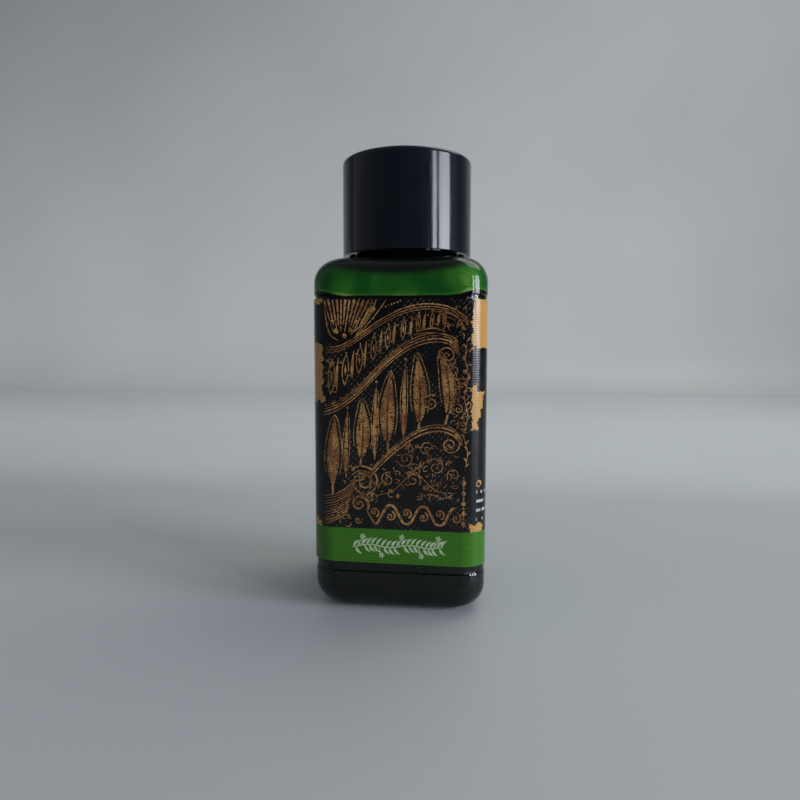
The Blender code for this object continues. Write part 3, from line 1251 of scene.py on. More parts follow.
def helical_ridge(
    name: str,
    wall: float,
    crest: float,
    widths: Point,
    start: float,
    turns: Point,
    *materials: bpy.types.Material,
) -> bpy.types.Object:
    """Sweeps a thread's ridge along its helix and sinks its ends into the wall.

    Args:
        name: The object's name.
        wall: Radius of the wall that it stands on.
        crest: Radius of its crest.
        widths: Its width at the wall and at the crest.
        start: Height of the helix where its angle is zero.
        turns: Where it starts and ends, in turns.
        *materials: Its materials.

    Returns:
        The ridge.
    """
    root = wall + math.copysign(0.25 * MM, wall - crest)
    count = round((turns[1] - turns[0]) * THREAD_STEPS)
    flank = (widths[0] - widths[1]) / 2 / abs(crest - wall)
    foot = widths[1] / 2 + flank * abs(crest - root)
    bm = bmesh.new()
    track = bm.verts.layers.float.new("track")
    corners = ((root, -foot), (crest, -widths[1] / 2), (crest, widths[1] / 2), (root, foot))
    low = start + THREAD_PITCH * turns[0]
    section = [bm.verts.new((radius, 0.0, low + rise)) for radius, rise in corners]
    ring = [bm.edges.new((near, far)) for near, far in zip(section, section[1:] + section[:1])]
    bmesh.ops.rotate(
        bm, verts=section, cent=(0, 0, 0), matrix=Matrix.Rotation(turns[0] * FULL, 3, "Z")
    )
    turn = Matrix.Rotation(FULL / THREAD_STEPS, 3, "Z")
    rise = Vector((0, 0, THREAD_PITCH / THREAD_STEPS))
    bmesh.ops.contextual_create(bm, geom=ring)
    for step in range(1, count + 1):
        ring = next_ring(bm, ring, lambda co: turn @ co + rise)
        for edge in ring:
            for vert in edge.verts:
                vert[track] = step / count
    bmesh.ops.contextual_create(bm, geom=ring)
    ramp = 1 / 12 / (turns[1] - turns[0])
    for vert in bm.verts:
        full = min(1.0, vert[track] / ramp, (1 - vert[track]) / ramp)
        radius = root + (vert.co.xy.length - root) * max(full, 0.1)
        vert.co.xy = vert.co.xy.normalized() * radius
    bmesh.ops.recalc_face_normals(bm, faces=bm.faces)
    return new_object(name, bm, *materials)


@dataclass
class Ink:
    """The fill: the hollow of the body, wetting the walls, with a meniscus that climbs them."""

    material: bpy.types.Material
    bottle: Bottle
    level: float
    into_wall: float = 0.05 * MM
    climb: float = 0.3 * MM
    climb_width: float = 0.9 * MM
    corner_climb: float = 0.9 * MM

    def build(self) -> list[bpy.types.Object]:
        """Builds the ink.

        Returns:
            The finished pieces.
        """
        bottle = self.bottle
        bm = bmesh.new()
        sections = []
        for section in bottle.sections(Side.INNER):
            if section.height < self.level:
                half, radius = section.half + self.into_wall, section.radius + self.into_wall
                sections.append(Section(half, radius, section.height - self.into_wall))
        last = sections[-1]
        sections.append(Section(last.half, last.radius, self.level + self.climb))
        _, ring = bottle.wall(bm, sections)
        for vert in {vert for edge in ring for vert in edge.verts}:
            out = Vector((abs(vert.co.x), abs(vert.co.y))) - Vector.Fill(2, last.half - last.radius)
            vert.co.z += self.corner_climb * max(0.0, 2 * out.x * out.y / out.length_squared) ** 1.5
        top = bmesh.ops.contextual_create(bm, geom=ring)["faces"]
        width = self.climb_width / 2
        for step in range(1, 6):
            bmesh.ops.inset_region(bm, faces=top, thickness=width, use_even_offset=True)
            drop = self.climb * (math.exp(-(step - 1) * 0.6) - math.exp(-step * 0.6))
            bmesh.ops.translate(bm, verts=top[0].verts[:], vec=(0, 0, -drop))
        bmesh.ops.recalc_face_normals(bm, faces=bm.faces)
        ink = new_object("ink_fill", bm, self.material)
        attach(ink, "bottle")
        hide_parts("ink")
        return [ink]


# ---------------------------------------------------------------------------------------------------------
# Label
# ---------------------------------------------------------------------------------------------------------


@dataclass(frozen=True)
class LabelPath:
    """The label's outer surface as a chart: u goes round to the right from mid-front, and v goes up."""

    half: float
    bottom: float
    radius: float = 3.9 * MM
    skew: float = 0.0096

    @property
    def side(self) -> float:
        """Length of one side with a corner."""
        return 2 * (self.half - self.radius) + self.radius * QUARTER

    def place(self, u: float, v: float, lift: float = 0.0) -> Vector:
        """Gives the place of a point of the chart.

        Args:
            u: Metres round to the right from the middle of the front.
            v: Metres up from the label's lower edge.
            lift: Metres outwards from the label's outer surface.

        Returns:
            The point in the frame.
        """
        straight = self.half - self.radius
        face = math.floor(u / self.side + 0.5)
        along = u - face * self.side
        flat = max(-straight, min(straight, along))
        angle = (along - flat) / self.radius
        reach = self.radius + lift
        x = flat + reach * math.sin(angle)
        y = -(straight + reach * math.cos(angle))
        turn = Matrix.Rotation(face * QUARTER, 3, "Z")
        return turn @ Vector((x, y, 0.0)) + Vector((0.0, 0.0, self.bottom + v - self.skew * u))


@dataclass
class Pen:
    """Collects drawn strokes, in mm on the label's chart, and makes them one thin raised print."""

    strokes: list[tuple[list[Vector], list[float]]] = field(default_factory=list)

    def stroke(self, points: Sequence[Point | Vector], widths: Sequence[float] | float) -> None:
        """Draws along points.

        Args:
            points: The stroke's middle line.
            widths: Its width at every point, or one for all.
        """
        line = [Vector(point) for point in points]
        if isinstance(widths, (int, float)):
            widths = [widths] * len(line)
        self.strokes.append((line, list(widths)))

    def curve(
        self, points: Sequence[Point], width: float, taper: float = 0.0, steps: int = 6
    ) -> list[Vector]:
        """Draws smoothly through points.

        Args:
            points: Points that the curve goes through.
            width: Its greatest width.
            taper: Share of its length over which each end thins out.
            steps: Points from each given point to the next.

        Returns:
            The curve's middle line.
        """
        line = smooth_line(points, steps)
        last = len(line) - 1
        widths = []
        for number in range(len(line)):
            near = min(number, last - number) / last
            widths.append(width * (1.0 if near >= taper else 0.25 + 0.75 * near / taper))
        self.stroke(line, widths)
        return line

    def bead(self, centre: Point | Vector, radius: float) -> None:
        """Draws a filled circle.

        Args:
            centre: Its middle.
            radius: Its radius.
        """
        angles = [math.pi * step / 6 for step in range(7)]
        middle = Vector(centre)
        points = [middle + Vector((-radius * math.cos(angle) * 0.98, 0.0)) for angle in angles]
        self.stroke(points, [max(2 * radius * math.sin(angle), 0.2 * radius) for angle in angles])

    def diamond(self, centre: Point | Vector, breadth: float, height: float) -> None:
        """Draws a filled diamond.

        Args:
            centre: Its middle.
            breadth: Its width.
            height: Its height.
        """
        middle = Vector(centre)
        up = Vector((0.0, height / 2))
        self.stroke([middle - up, middle, middle + up], [0.02, breadth, 0.02])

    def leaf(
        self, base: Point | Vector, tip: Point | Vector, breadth: float, bend: float = 0.0
    ) -> None:
        """Draws a filled leaf.

        Args:
            base: Where it starts.
            tip: Where it ends.
            breadth: Its greatest width.
            bend: How far its middle lies to the left of its chord, as a share of its length.
        """
        start, end = Vector(base), Vector(tip)
        chord = end - start
        aside = Vector((-chord.y, chord.x)) * bend
        points, widths = [], []
        for step in range(8):
            share = step / 7
            points.append(start + chord * share + aside * 4 * share * (1 - share))
            widths.append(max(breadth * math.sin(math.pi * share**0.8), 0.03))
        self.stroke(points, widths)

    def spiral(
        self,
        centre: Point,
        radius: float,
        start: float,
        turns: float,
        width: float,
        end_radius: float = 0.15,
    ) -> None:
        """Draws a scroll that winds in to a bead.

        Args:
            centre: Its middle.
            radius: Its outer radius.
            start: The angle where it starts, in degrees.
            turns: How often it winds, anticlockwise if positive.
            width: Its width at the start.
            end_radius: Share of the radius where it ends.
        """
        count = max(10, round(abs(turns) * 20))
        middle = Vector(centre)
        points, widths = [], []
        for step in range(count + 1):
            share = step / count
            angle = math.radians(start) + turns * FULL * share
            reach = radius * (1 - (1 - end_radius) * share**0.85)
            points.append(middle + Vector((math.cos(angle), math.sin(angle))) * reach)
            widths.append(width * (1 - 0.45 * share))
        self.stroke(points, widths)
        self.bead(points[-1], width * 0.75)

    def printed(
        self, name: str, path: LabelPath, material: bpy.types.Material, thickness: float = 0.02
    ) -> bpy.types.Object:
        """Lays the strokes on the label.

        Args:
            name: The object's name.
            path: The label's chart.
            material: The ink.
            thickness: The print's thickness in mm.

        Returns:
            The print, as one object.
        """
        bm = bmesh.new()
        across = bm.verts.layers.float_vector.new("across")
        for line, widths in self.strokes:
            chain = []
            last = len(line) - 1
            for number, (point, width) in enumerate(zip(line, widths)):
                way = (line[min(number + 1, last)] - line[max(number - 1, 0)]).normalized()
                left = Vector((-way.y, way.x)) * width
                vert = bm.verts.new((*(point + left / 2), 0.0))
                vert[across] = (-left.x, -left.y, 0.0)
                chain.append(vert)
            for near, far in zip(chain, chain[1:]):
                bm.edges.new((near, far))
        made = bmesh.ops.extrude_edge_only(bm, edges=bm.edges[:])["geom"]
        for vert in made:
            if isinstance(vert, bmesh.types.BMVert):
                vert.co += vert[across]
        bmesh.ops.recalc_face_normals(bm, faces=bm.faces)
        for face in bm.faces:
            if face.normal.z < 0:
                face.normal_flip()
        for vert in bm.verts:
            vert.co = path.place(vert.co.x * MM, vert.co.y * MM)
        obj = new_object(name, bm, material)
        wall = obj.modifiers.new("thickness", "SOLIDIFY")
        wall.thickness = 2 * thickness * MM
        wall.offset = 0.0
        return settle(obj)


def smooth_line(points: Sequence[Point | Vector], steps: int) -> list[Vector]:
    """Runs a smooth curve through points.

    Args:
        points: The points.
        steps: Points from each given point to the next.

    Returns:
        The curve's points.
    """
    knots = [Vector(point) for point in points]
    knots = [2 * knots[0] - knots[1], *knots, 2 * knots[-1] - knots[-2]]
    line = []
    for before, near, far, after in zip(knots, knots[1:], knots[2:], knots[3:]):
        slope = far - before
        bend = 2 * before - 5 * near + 4 * far - after
        twist = 3 * near - before - 3 * far + after
        for step in range(steps):
            share = step / steps
            line.append(0.5 * (2 * near + slope * share + bend * share**2 + twist * share**3))
    line.append(knots[-2])
    return line


@dataclass
class Label:
    """The wrap-around label: its film, its bronze ornament, the band's sprig and the small print's rules.

    The prints are drawn in mm on the label's chart.
    """

    film: bpy.types.Material
    bronze: bpy.types.Material
    pale: bpy.types.Material
    white: bpy.types.Material
    path: LabelPath
    height: float
    thickness: float = 0.12 * MM
    seam: float = 1.0 * MM
    column: float = 0.4 * MM

    def build_film(self) -> bpy.types.Object:
        """Builds the film: a flat strip wrapped round the body.

        Returns:
            The film.
        """
        length = 4 * self.path.side - self.seam
        bm = bmesh.new()
        bmesh.ops.create_grid(bm, x_segments=round(length / self.column), y_segments=6, size=0.5)
        chart = bm.loops.layers.uv.new("label")
        for vert in bm.verts:
            vert.co.x *= length
            vert.co.y = (vert.co.y + 0.5) * self.height
        for face in bm.faces:
            for loop in face.loops:
                loop[chart].uv = loop.vert.co.xy
        for vert in bm.verts:
            vert.co = self.path.place(vert.co.x, vert.co.y)
        obj = new_object("label_film", bm, self.film)
        wall = obj.modifiers.new("thickness", "SOLIDIFY")
        wall.thickness = self.thickness
        wall.offset = -1.0
        return settle(obj)

    def ornament(self) -> Pen:
        """Draws the ornament of the front panel: a sunburst, ribbons, rising quills, scrolls and a vine.

        Returns:
            The pen with its strokes.
        """
        pen = Pen()
        self.sunburst(pen)
        self.ribbons(pen)
        self.spindles(pen)
        self.quills(pen)
        self.scrolls(pen)
        self.vine(pen)
        self.chain(pen)
        self.filigree(pen)
        return pen

    def sunburst(self, pen: Pen) -> None:
        """Draws the fan of rays in the upper left corner, with beads on its hub.

        Args:
            pen: The pen that draws it.
        """
        centre, top, left = Vector((-8.9, 32.9)), 41.8, -12.2
        for step in range(16):
            angle = math.radians(54 + step * 4.4)
            way = Vector((math.cos(angle), math.sin(angle)))
            far = min(9.4, (top - centre.y) / way.y)
            near = 4.0 + 0.9 * (step % 2)
            line = [centre + way * (near + (far - near) * share) for share in (0.0, 0.5, 1.0)]
            if line[-1].x > left:
                pen.stroke(line, [0.08, 0.24, 0.42 if step % 2 else 0.26])
        for u, v, radius in (
            (-10.2, 38.4, 0.3),
            (-9.6, 36.9, 0.42),
            (-8.3, 36.2, 0.36),
            (-7.2, 37.0, 0.3),
            (-6.3, 38.4, 0.26),
        ):
            pen.bead((u, v), radius)
        pen.curve([(-3.2, 41.9), (-4.0, 39.9), (-5.6, 37.9), (-7.4, 36.3)], 0.34, 0.3)
        pen.curve([(-1.6, 41.9), (-2.8, 40.2), (-4.6, 38.0), (-6.6, 36.0)], 0.14, 0.2)
        pen.curve([(-11.6, 41.6), (-11.3, 38.8), (-10.6, 36.4), (-9.2, 35.4)], 0.2, 0.3)
        for step in range(7):
            pen.bead((-2.2 + 0.46 * step, 40.6 + 0.17 * step), 0.13)

    def ribbons(self, pen: Pen) -> None:
        """Draws three ribbons of close lines that rise to the right, the middle one with a dotted edge.

        Args:
            pen: The pen that draws it.
        """
        upper = [(-11.4, 34.3), (-8.8, 34.7), (-5.8, 36.5), (-2.6, 38.7)]
        upper += [(1.0, 40.5), (4.6, 41.2), (8.2, 40.7), (11.2, 38.9)]
        middle = [(-11.9, 24.0), (-9.4, 25.0), (-6.6, 27.0), (-3.8, 29.8), (-1.2, 32.4)]
        middle += [(1.8, 34.6), (5.2, 35.8), (8.2, 35.5), (9.8, 33.6)]
        lower = [(-4.2, 14.6), (-2.4, 16.6), (0.4, 19.2), (3.4, 21.3)]
        lower += [(6.4, 22.1), (8.8, 21.5), (10.4, 19.9)]
        for edge, lines in (
            (upper, ((0.0, 0.2), (-0.42, 0.12), (-0.8, 0.1))),
            (middle, ((0.0, 0.24), (0.45, 0.12), (-0.5, 0.13), (0.85, 0.1))),
            (lower, ((0.0, 0.24), (-0.62, 0.22), (0.4, 0.1))),
        ):
            for rise, width in lines:
                pen.curve([(u, v + rise) for u, v in edge], width, 0.06)
        for number, place in enumerate(smooth_line(middle[:-2], 6)):
            if number % 2:
                pen.bead(place + Vector((0.0, 1.2)), 0.09)
        pen.curve([(3.4, 37.0), (5.6, 37.5), (7.6, 36.9)], 0.3, 0.4)
        pen.curve([(2.6, 36.4), (5.4, 36.8), (8.6, 36.2), (9.6, 35.3)], 0.16, 0.3)
        pen.curve([(5.2, 40.0), (7.6, 39.9), (9.6, 38.9), (10.3, 37.6), (9.6, 36.7)], 0.14, 0.2)
        pen.curve([(6.4, 39.2), (8.2, 39.1), (9.3, 38.2), (9.2, 37.4)], 0.11, 0.2)

    def spindles(self, pen: Pen) -> None:
        """Draws a dwindling row of spindles between the upper two ribbons: lenses with a filled heart.

        Args:
            pen: The pen that draws it.
        """
        row = [(-10.4, 29.6), (-7.4, 31.3), (-4.4, 33.7), (-1.4, 36.0)]
        row += [(1.8, 37.6), (4.8, 38.6), (7.4, 39.0)]
        line = smooth_line(row, 12)
        count = 17
        for step in range(count):
            place = line[round(step * (len(line) - 1) / (count - 1))]
            tall = 5.3 - 3.2 * step / (count - 1)
            half, slope = Vector((0.16, tall / 2)), 0.1
            low, high = place - half, place + half
            if step % 2:
                pen.leaf(low, high, 0.46, slope * 0.3)
                pen.bead(place + Vector((0.5, tall * 0.36)), 0.14)
                pen.bead(place + Vector((-0.5, -tall * 0.36)), 0.14)
                continue
            for bend in (-slope, slope):
                aside = Vector((-(high - low).y, (high - low).x)) * bend
                lower = low * 0.75 + high * 0.25 + aside * 0.8
                upper = low * 0.25 + high * 0.75 + aside * 0.8
                pen.curve([low, lower, place + aside, upper, high], 0.13, 0.0, 3)
            pen.diamond(place, 0.34, tall * 0.36)
            pen.bead(high + Vector((0.0, 0.22)), 0.13)

    def quill(self, pen: Pen, base: Point, tip: Point, breadth: float, bend: float) -> None:
        """Draws a quill: a spine with close barbs on both sides and a fine outline round them.

        Args:
            pen: The pen.
            base: The quill's point.
            tip: The feather's end.
            breadth: Its greatest breadth.
            bend: How far its middle lies to the left of its chord, as a share of its length.
        """
        start, end = Vector(base), Vector(tip)
        chord = end - start
        aside = Vector((-chord.y, chord.x)) * bend

        def spine(share: float) -> Vector:
            """Gives the spine's place at a share of its length."""
            return start + chord * share + aside * 4 * share * (1 - share)

        shares = [step / 12 for step in range(13)]
        pen.stroke([spine(share) for share in shares], [0.34 - 0.22 * share for share in shares])
        outlines: tuple[list[Vector], list[Vector]] = ([], [])
        count = round(chord.length / 0.43)
        for step in range(round(count * 0.16), count):
            share = step / count
            root = spine(share)
            way = (chord + aside * 4 * (1 - 2 * share)).normalized()
            reach = breadth / 2 * math.sin(math.pi * min(1.0, (share - 0.1) / 0.9) ** 0.7)
            for hand, outline in zip((-1, 1), outlines):
                out = Vector((-way.y, way.x)) * hand
                far = root + out * reach + way * (0.15 + 0.6 * reach)
                bulge = root * 0.5 + far * 0.5 - way * 0.06
                pen.stroke([root, bulge, far], [0.34, 0.30, 0.16])
                if step % 3 == 0:
                    outline.append(far + out * 0.42)
        for outline in outlines:
            pen.curve([*outline, end + chord.normalized() * 0.5], 0.12, 0.0, 3)

    def quills(self, pen: Pen) -> None:
        """Draws the row of quills that climbs to the right, with reeds between them.

        Args:
            pen: The pen that draws it.
        """
        for base, tip, breadth, bend in (
            ((-10.3, 11.0), (-9.9, 23.2), 2.1, 0.01),
            ((-5.9, 15.4), (-5.5, 26.0), 2.2, -0.03),
            ((-1.3, 17.6), (-0.9, 30.4), 2.3, 0.03),
            ((3.4, 21.2), (3.2, 33.2), 2.2, -0.03),
            ((7.6, 22.6), (6.6, 33.6), 2.2, -0.10),
        ):
            self.quill(pen, base, tip, breadth, bend)
        for u, low, high in ((-8.1, 13.6, 24.4), (-3.5, 16.6, 28.6), (1.1, 19.8, 32.2)):
            pen.leaf((u, low), (u + 0.3, high), 0.62, 0.01)
            for aside in (-0.55, 0.6):
                foot = (u + aside * 0.4, low + 1.0)
                head = (u + 0.3 + aside * 0.4, high - 0.8)
                pen.curve([foot, (u + aside, (low + high) / 2), head], 0.11, 0.2)
            pen.bead((u + 0.3, high + 0.45), 0.22)
        pen.spiral((7.9, 33.3), 1.5, 200, -1.5, 0.26)
        pen.spiral((5.4, 25.9), 1.35, 60, 1.6, 0.24)
        pen.spiral((9.6, 25.0), 0.9, 150, -1.3, 0.18)
        pen.spiral((13.2, 13.2), 0.5, 0, 1.1, 0.3, 0.8)

    def scrolls(self, pen: Pen) -> None:
        """Draws the scrolls under the quills and the sheaf of lines in the lower left corner.

        Args:
            pen: The pen that draws it.
        """
        pen.spiral((-5.3, 13.1), 2.7, 130, -2.1, 0.26)
        pen.spiral((-5.3, 13.1), 2.1, 150, -1.2, 0.11)
        for centre, radius, start, turns, width in (
            ((8.4, 19.4), 1.7, 70, -1.6, 0.24),
            ((1.4, 17.0), 1.4, 200, 1.5, 0.16),
            ((4.6, 18.6), 1.2, 30, 1.4, 0.16),
            ((6.2, 15.8), 1.5, 160, -1.6, 0.16),
            ((2.6, 13.6), 1.3, 320, 1.5, 0.15),
            ((-1.4, 13.6), 1.2, 90, 1.4, 0.15),
            ((9.0, 14.6), 1.2, 220, -1.3, 0.14),
            ((9.6, 29.0), 0.8, 60, 1.3, 0.13),
            ((10.3, 22.6), 0.8, 240, 1.2, 0.13),
        ):
            pen.spiral(centre, radius, start, turns, width)
        pen.curve([(-3.0, 11.0), (-0.4, 12.0), (2.8, 15.2), (5.6, 17.4)], 0.12, 0.2)
        pen.curve([(9.4, 11.8), (6.4, 12.0), (3.4, 14.6), (1.6, 16.0)], 0.14, 0.2)
        pen.curve([(3.2, 11.0), (5.4, 11.4), (7.6, 10.9), (9.4, 12.0)], 0.2, 0.3)
        for step in range(11):
            low = 10.6 - 0.46 * step
            points = [
                (-11.8, low),
                (-9.6, low + 0.5 + 0.04 * step),
                (-7.8 - 0.06 * step, low + 1.7),
                (-6.4 - 0.14 * step, low + 2.9 - 0.05 * step),
            ]
            pen.curve(points, 0.2 if step % 3 == 0 else 0.11, 0.2, 4)
        for u, v in ((-2.9, 12.6), (0.2, 11.0), (4.4, 12.4)):
            pen.diamond((u, v), 0.6, 0.9)

    def vine(self, pen: Pen) -> None:
        """Draws the waving vine along the foot of the panel, with a curl in every bend and two scrolls.

        Args:
            pen: The pen that draws it.
        """
        middle, swing, quarter = 8.0, 1.45, 0.65
        wave = (-1.0, -0.82, 0.0, 0.82, 1.0, 0.82, 0.0, -0.82)
        stem = [(-3.6 + quarter * step, middle + swing * wave[step % 8]) for step in range(21)]
        pen.curve([(-4.9, 8.7), *stem], 0.4, 0.06)
        pen.spiral((-6.0, 9.5), 1.6, 330, 1.5, 0.42)
        pen.spiral((-6.2, 6.9), 0.7, 20, -1.1, 0.18)
        for bend in range(0, 21, 4):
            side = 1 if bend % 8 == 0 else -1
            pen.spiral((stem[bend][0], middle + 0.3 * side), 0.85, -70 * side, 1.3 * side, 0.26)

    def chain(self, pen: Pen) -> None:
        """Draws the chain of diamonds and beads at the right, and the tendril above it.

        Args:
            pen: The pen that draws it.
        """
        for step in range(5):
            pen.diamond((10.55, 6.9 + step * 1.62), 0.78, 1.15)
            pen.bead((10.55, 7.72 + step * 1.62), 0.16)
        tendril = [(10.7, 15.4), (11.1, 18.2), (10.5, 21.0), (11.1, 24.0)]
        tendril += [(10.5, 27.0), (11.1, 30.0), (10.6, 33.0), (11.0, 36.0)]
        stem = pen.curve(tendril, 0.11, 0.1)
        for step in range(1, len(stem) - 1, 2):
            hand = 1 if step % 4 == 1 else -1
            pen.leaf(stem[step], stem[step] + Vector((0.55 * hand, 0.6)), 0.24, 0.1 * hand)

    def filigree(self, pen: Pen) -> None:
        """Draws the small curls and dots that fill the ground: corners of each field and how many.

        Args:
            pen: The pen that draws it.
        """
        draw = random.Random(11)
        for low, high, count in (
            ((-2.5, 10.8), (9.6, 19.5), 90),
            ((-11.4, 6.2), (-7.0, 9.8), 16),
            ((8.4, 22.0), (11.4, 36.5), 50),
            ((-8.4, 9.8), (-2.8, 15.8), 36),
            ((-11.4, 25.6), (-9.8, 33.0), 14),
            ((6.6, 36.8), (11.2, 41.0), 26),
            ((-6.4, 38.6), (-2.8, 41.6), 14),
        ):
            for _ in range(count):
                middle = Vector((draw.uniform(low[0], high[0]), draw.uniform(low[1], high[1])))
                reach, start = draw.uniform(0.25, 0.8), draw.uniform(0.0, FULL)
                sweep = draw.uniform(1.2, 3.2) * draw.choice((-1, 1))
                points = []
                for step in range(6):
                    angle = start + sweep * step / 5
                    way = Vector((math.cos(angle), math.sin(angle)))
                    points.append(middle + way * reach * (1 - 0.08 * step))
                pen.stroke(points, [0.06, 0.1, 0.12, 0.12, 0.1, 0.08])
                if draw.random() < 0.3:
                    pen.bead(middle, 0.1)

    def sprig(self) -> Pen:
        """Draws the meadow sprig on the colour band: a stem with leaves and small round flowers.

        Returns:
            The pen with its strokes.
        """
        pen = Pen()
        line = [(-7.3, 2.4), (-4.4, 3.0), (-1.2, 2.6), (2.0, 3.1), (5.0, 2.7), (7.4, 3.0)]
        stem = pen.curve(line, 0.2, 0.1, 8)
        for step in range(1, len(stem) - 1):
            root = stem[step]
            hand = 1 if step % 2 else -1
            if step % 8 == 4:
                hand = 1 if step % 16 == 4 else -1
                head = root + Vector((0.4, 1.5 * hand))
                pen.curve([root, root + Vector((0.1, 0.7 * hand)), head], 0.15, 0.0, 2)
                for petal in range(5):
                    angle = FULL * petal / 5
                    way = Vector((math.cos(angle), math.sin(angle)))
                    pen.leaf(head + way * 0.08, head + way * 0.52, 0.3)
                continue
            pen.leaf(root, root + Vector((0.95, 1.15 * hand)), 0.42, 0.14 * hand)
        return pen

    def rules(self) -> Pen:
        """Draws the short broken rules on the sides and the back, which stand for small print.

        Returns:
            The pen with its strokes.
        """
        pen = Pen()
        spacing, gap, width = 1.45, 0.4, 0.42
        blocks = ((12.7, 24.5, 11.9, 4), (-36.0, -24.5, 9.6, 2), (36.0, 49.0, 30.0, 6))
        for start, end, top, count in blocks:
            for row in range(count):
                v = top - row * spacing
                u = start
                while u < end:
                    length = 0.9 + 0.7 * ((7 * row + round(u * 3)) % 4)
                    stop = min(u + length, end)
                    pen.stroke([(u, v), ((u + stop) / 2, v), (stop, v)], width)
                    u = stop + gap
        return pen

    def build(self) -> list[bpy.types.Object]:
        """Builds the label.

        Returns:
            The finished pieces.
        """
        film = self.build_film()
        gold = self.ornament().printed("bronze_ornament", self.path, self.bronze)
        sprig = self.sprig().printed("band_sprig", self.path, self.pale)
        rules = self.rules().printed("side_rules", self.path, self.white)
        pieces = [film, gold, sprig, rules]
        for piece in pieces:
            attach(piece, "bottle")
        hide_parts("label")
        return pieces


# ---------------------------------------------------------------------------------------------------------
# Cap and liner
# ---------------------------------------------------------------------------------------------------------


@dataclass
class Cap:
    """The screw cap: a turned shell with its thread inside, and the foam liner that seals on the rim."""

    material: bpy.types.Material
    foam: bpy.types.Material
    radius: float
    bottom: float
    crown: float
    liner_bottom: float
    liner_top: float
    edge: float = 0.8 * MM
    wall: float = 1.1 * MM
    top: float = 1.4 * MM
    thread_crest: float = 8.95 * MM
    thread_widths: Point = (1.3 * MM, 0.7 * MM)
    thread_start: float = 63.1 * MM
    thread_turns: Point = (-0.375, 1.125)
    liner_radius: float = 9.6 * MM
    groove: Point = (6.65 * MM, 8.85 * MM)
    groove_depth: float = 0.06 * MM
    dish: float = 0.12 * MM
    steps: int = 160
    liner_steps: int = 96

    def shell(self) -> bpy.types.Object:
        """Builds the shell, with a crown that is dished a little and a gate mark in its middle.

        Returns:
            The shell.
        """
        bore = self.radius - self.wall
        inside = self.crown - self.top
        middle = self.crown - self.dish
        bm = turned(
            [
                (0.0, middle, 0.0),
                (0.55 * MM, middle, 0.04 * MM),
                (0.65 * MM, middle - 0.08 * MM, 0.0),
                (0.9 * MM, middle, 0.04 * MM),
                (self.radius * 0.75, self.crown - self.dish * 0.3, 2.0 * MM),
                (self.radius * 0.88, self.crown, 0.5 * MM),
                (self.radius, self.crown, self.edge),
                (self.radius, self.bottom, 0.15 * MM),
                (bore, self.bottom, 0.15 * MM),
                (bore, inside, 0.2 * MM),
                (0.0, inside, 0.0),
            ],
            self.steps,
        )
        return new_object("cap_moulding", bm, self.material)

    def liner(self) -> bpy.types.Object:
        """Builds the liner, a foam disc with the rim's groove pressed into it.

        Returns:
            The liner.
        """
        low, high, reach = self.liner_bottom, self.liner_top, self.liner_radius
        near, far = self.groove
        slope = 0.25 * MM
        deep = low + self.groove_depth
        bm = turned(
            [
                (0.0, high, 0.0),
                (reach, high, 0.1 * MM),
                (reach, low, 0.15 * MM),
                (far, low, 0.05 * MM),
                (far - slope, deep, 0.05 * MM),
                (near + slope, deep, 0.05 * MM),
                (near, low, 0.05 * MM),
                (0.0, low, 0.0),
            ],
            self.liner_steps,
            segments=3,
        )
        return new_object("foam_liner", bm, self.foam)

    def build(self) -> list[bpy.types.Object]:
        """Builds the cap and its liner.

        Returns:
            The finished pieces.
        """
        shell = self.shell()
        ridge = helical_ridge(
            "cap_thread",
            self.radius - self.wall,
            self.thread_crest,
            self.thread_widths,
            self.thread_start,
            self.thread_turns,
            self.material,
        )
        liner = self.liner()
        for piece in (shell, ridge):
            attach(piece, "cap")
        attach(liner, "liner")
        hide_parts("cap_shell")
        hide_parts("cap_liner")
        return [shell, ridge, liner]


# ---------------------------------------------------------------------------------------------------------
# Studio
# ---------------------------------------------------------------------------------------------------------


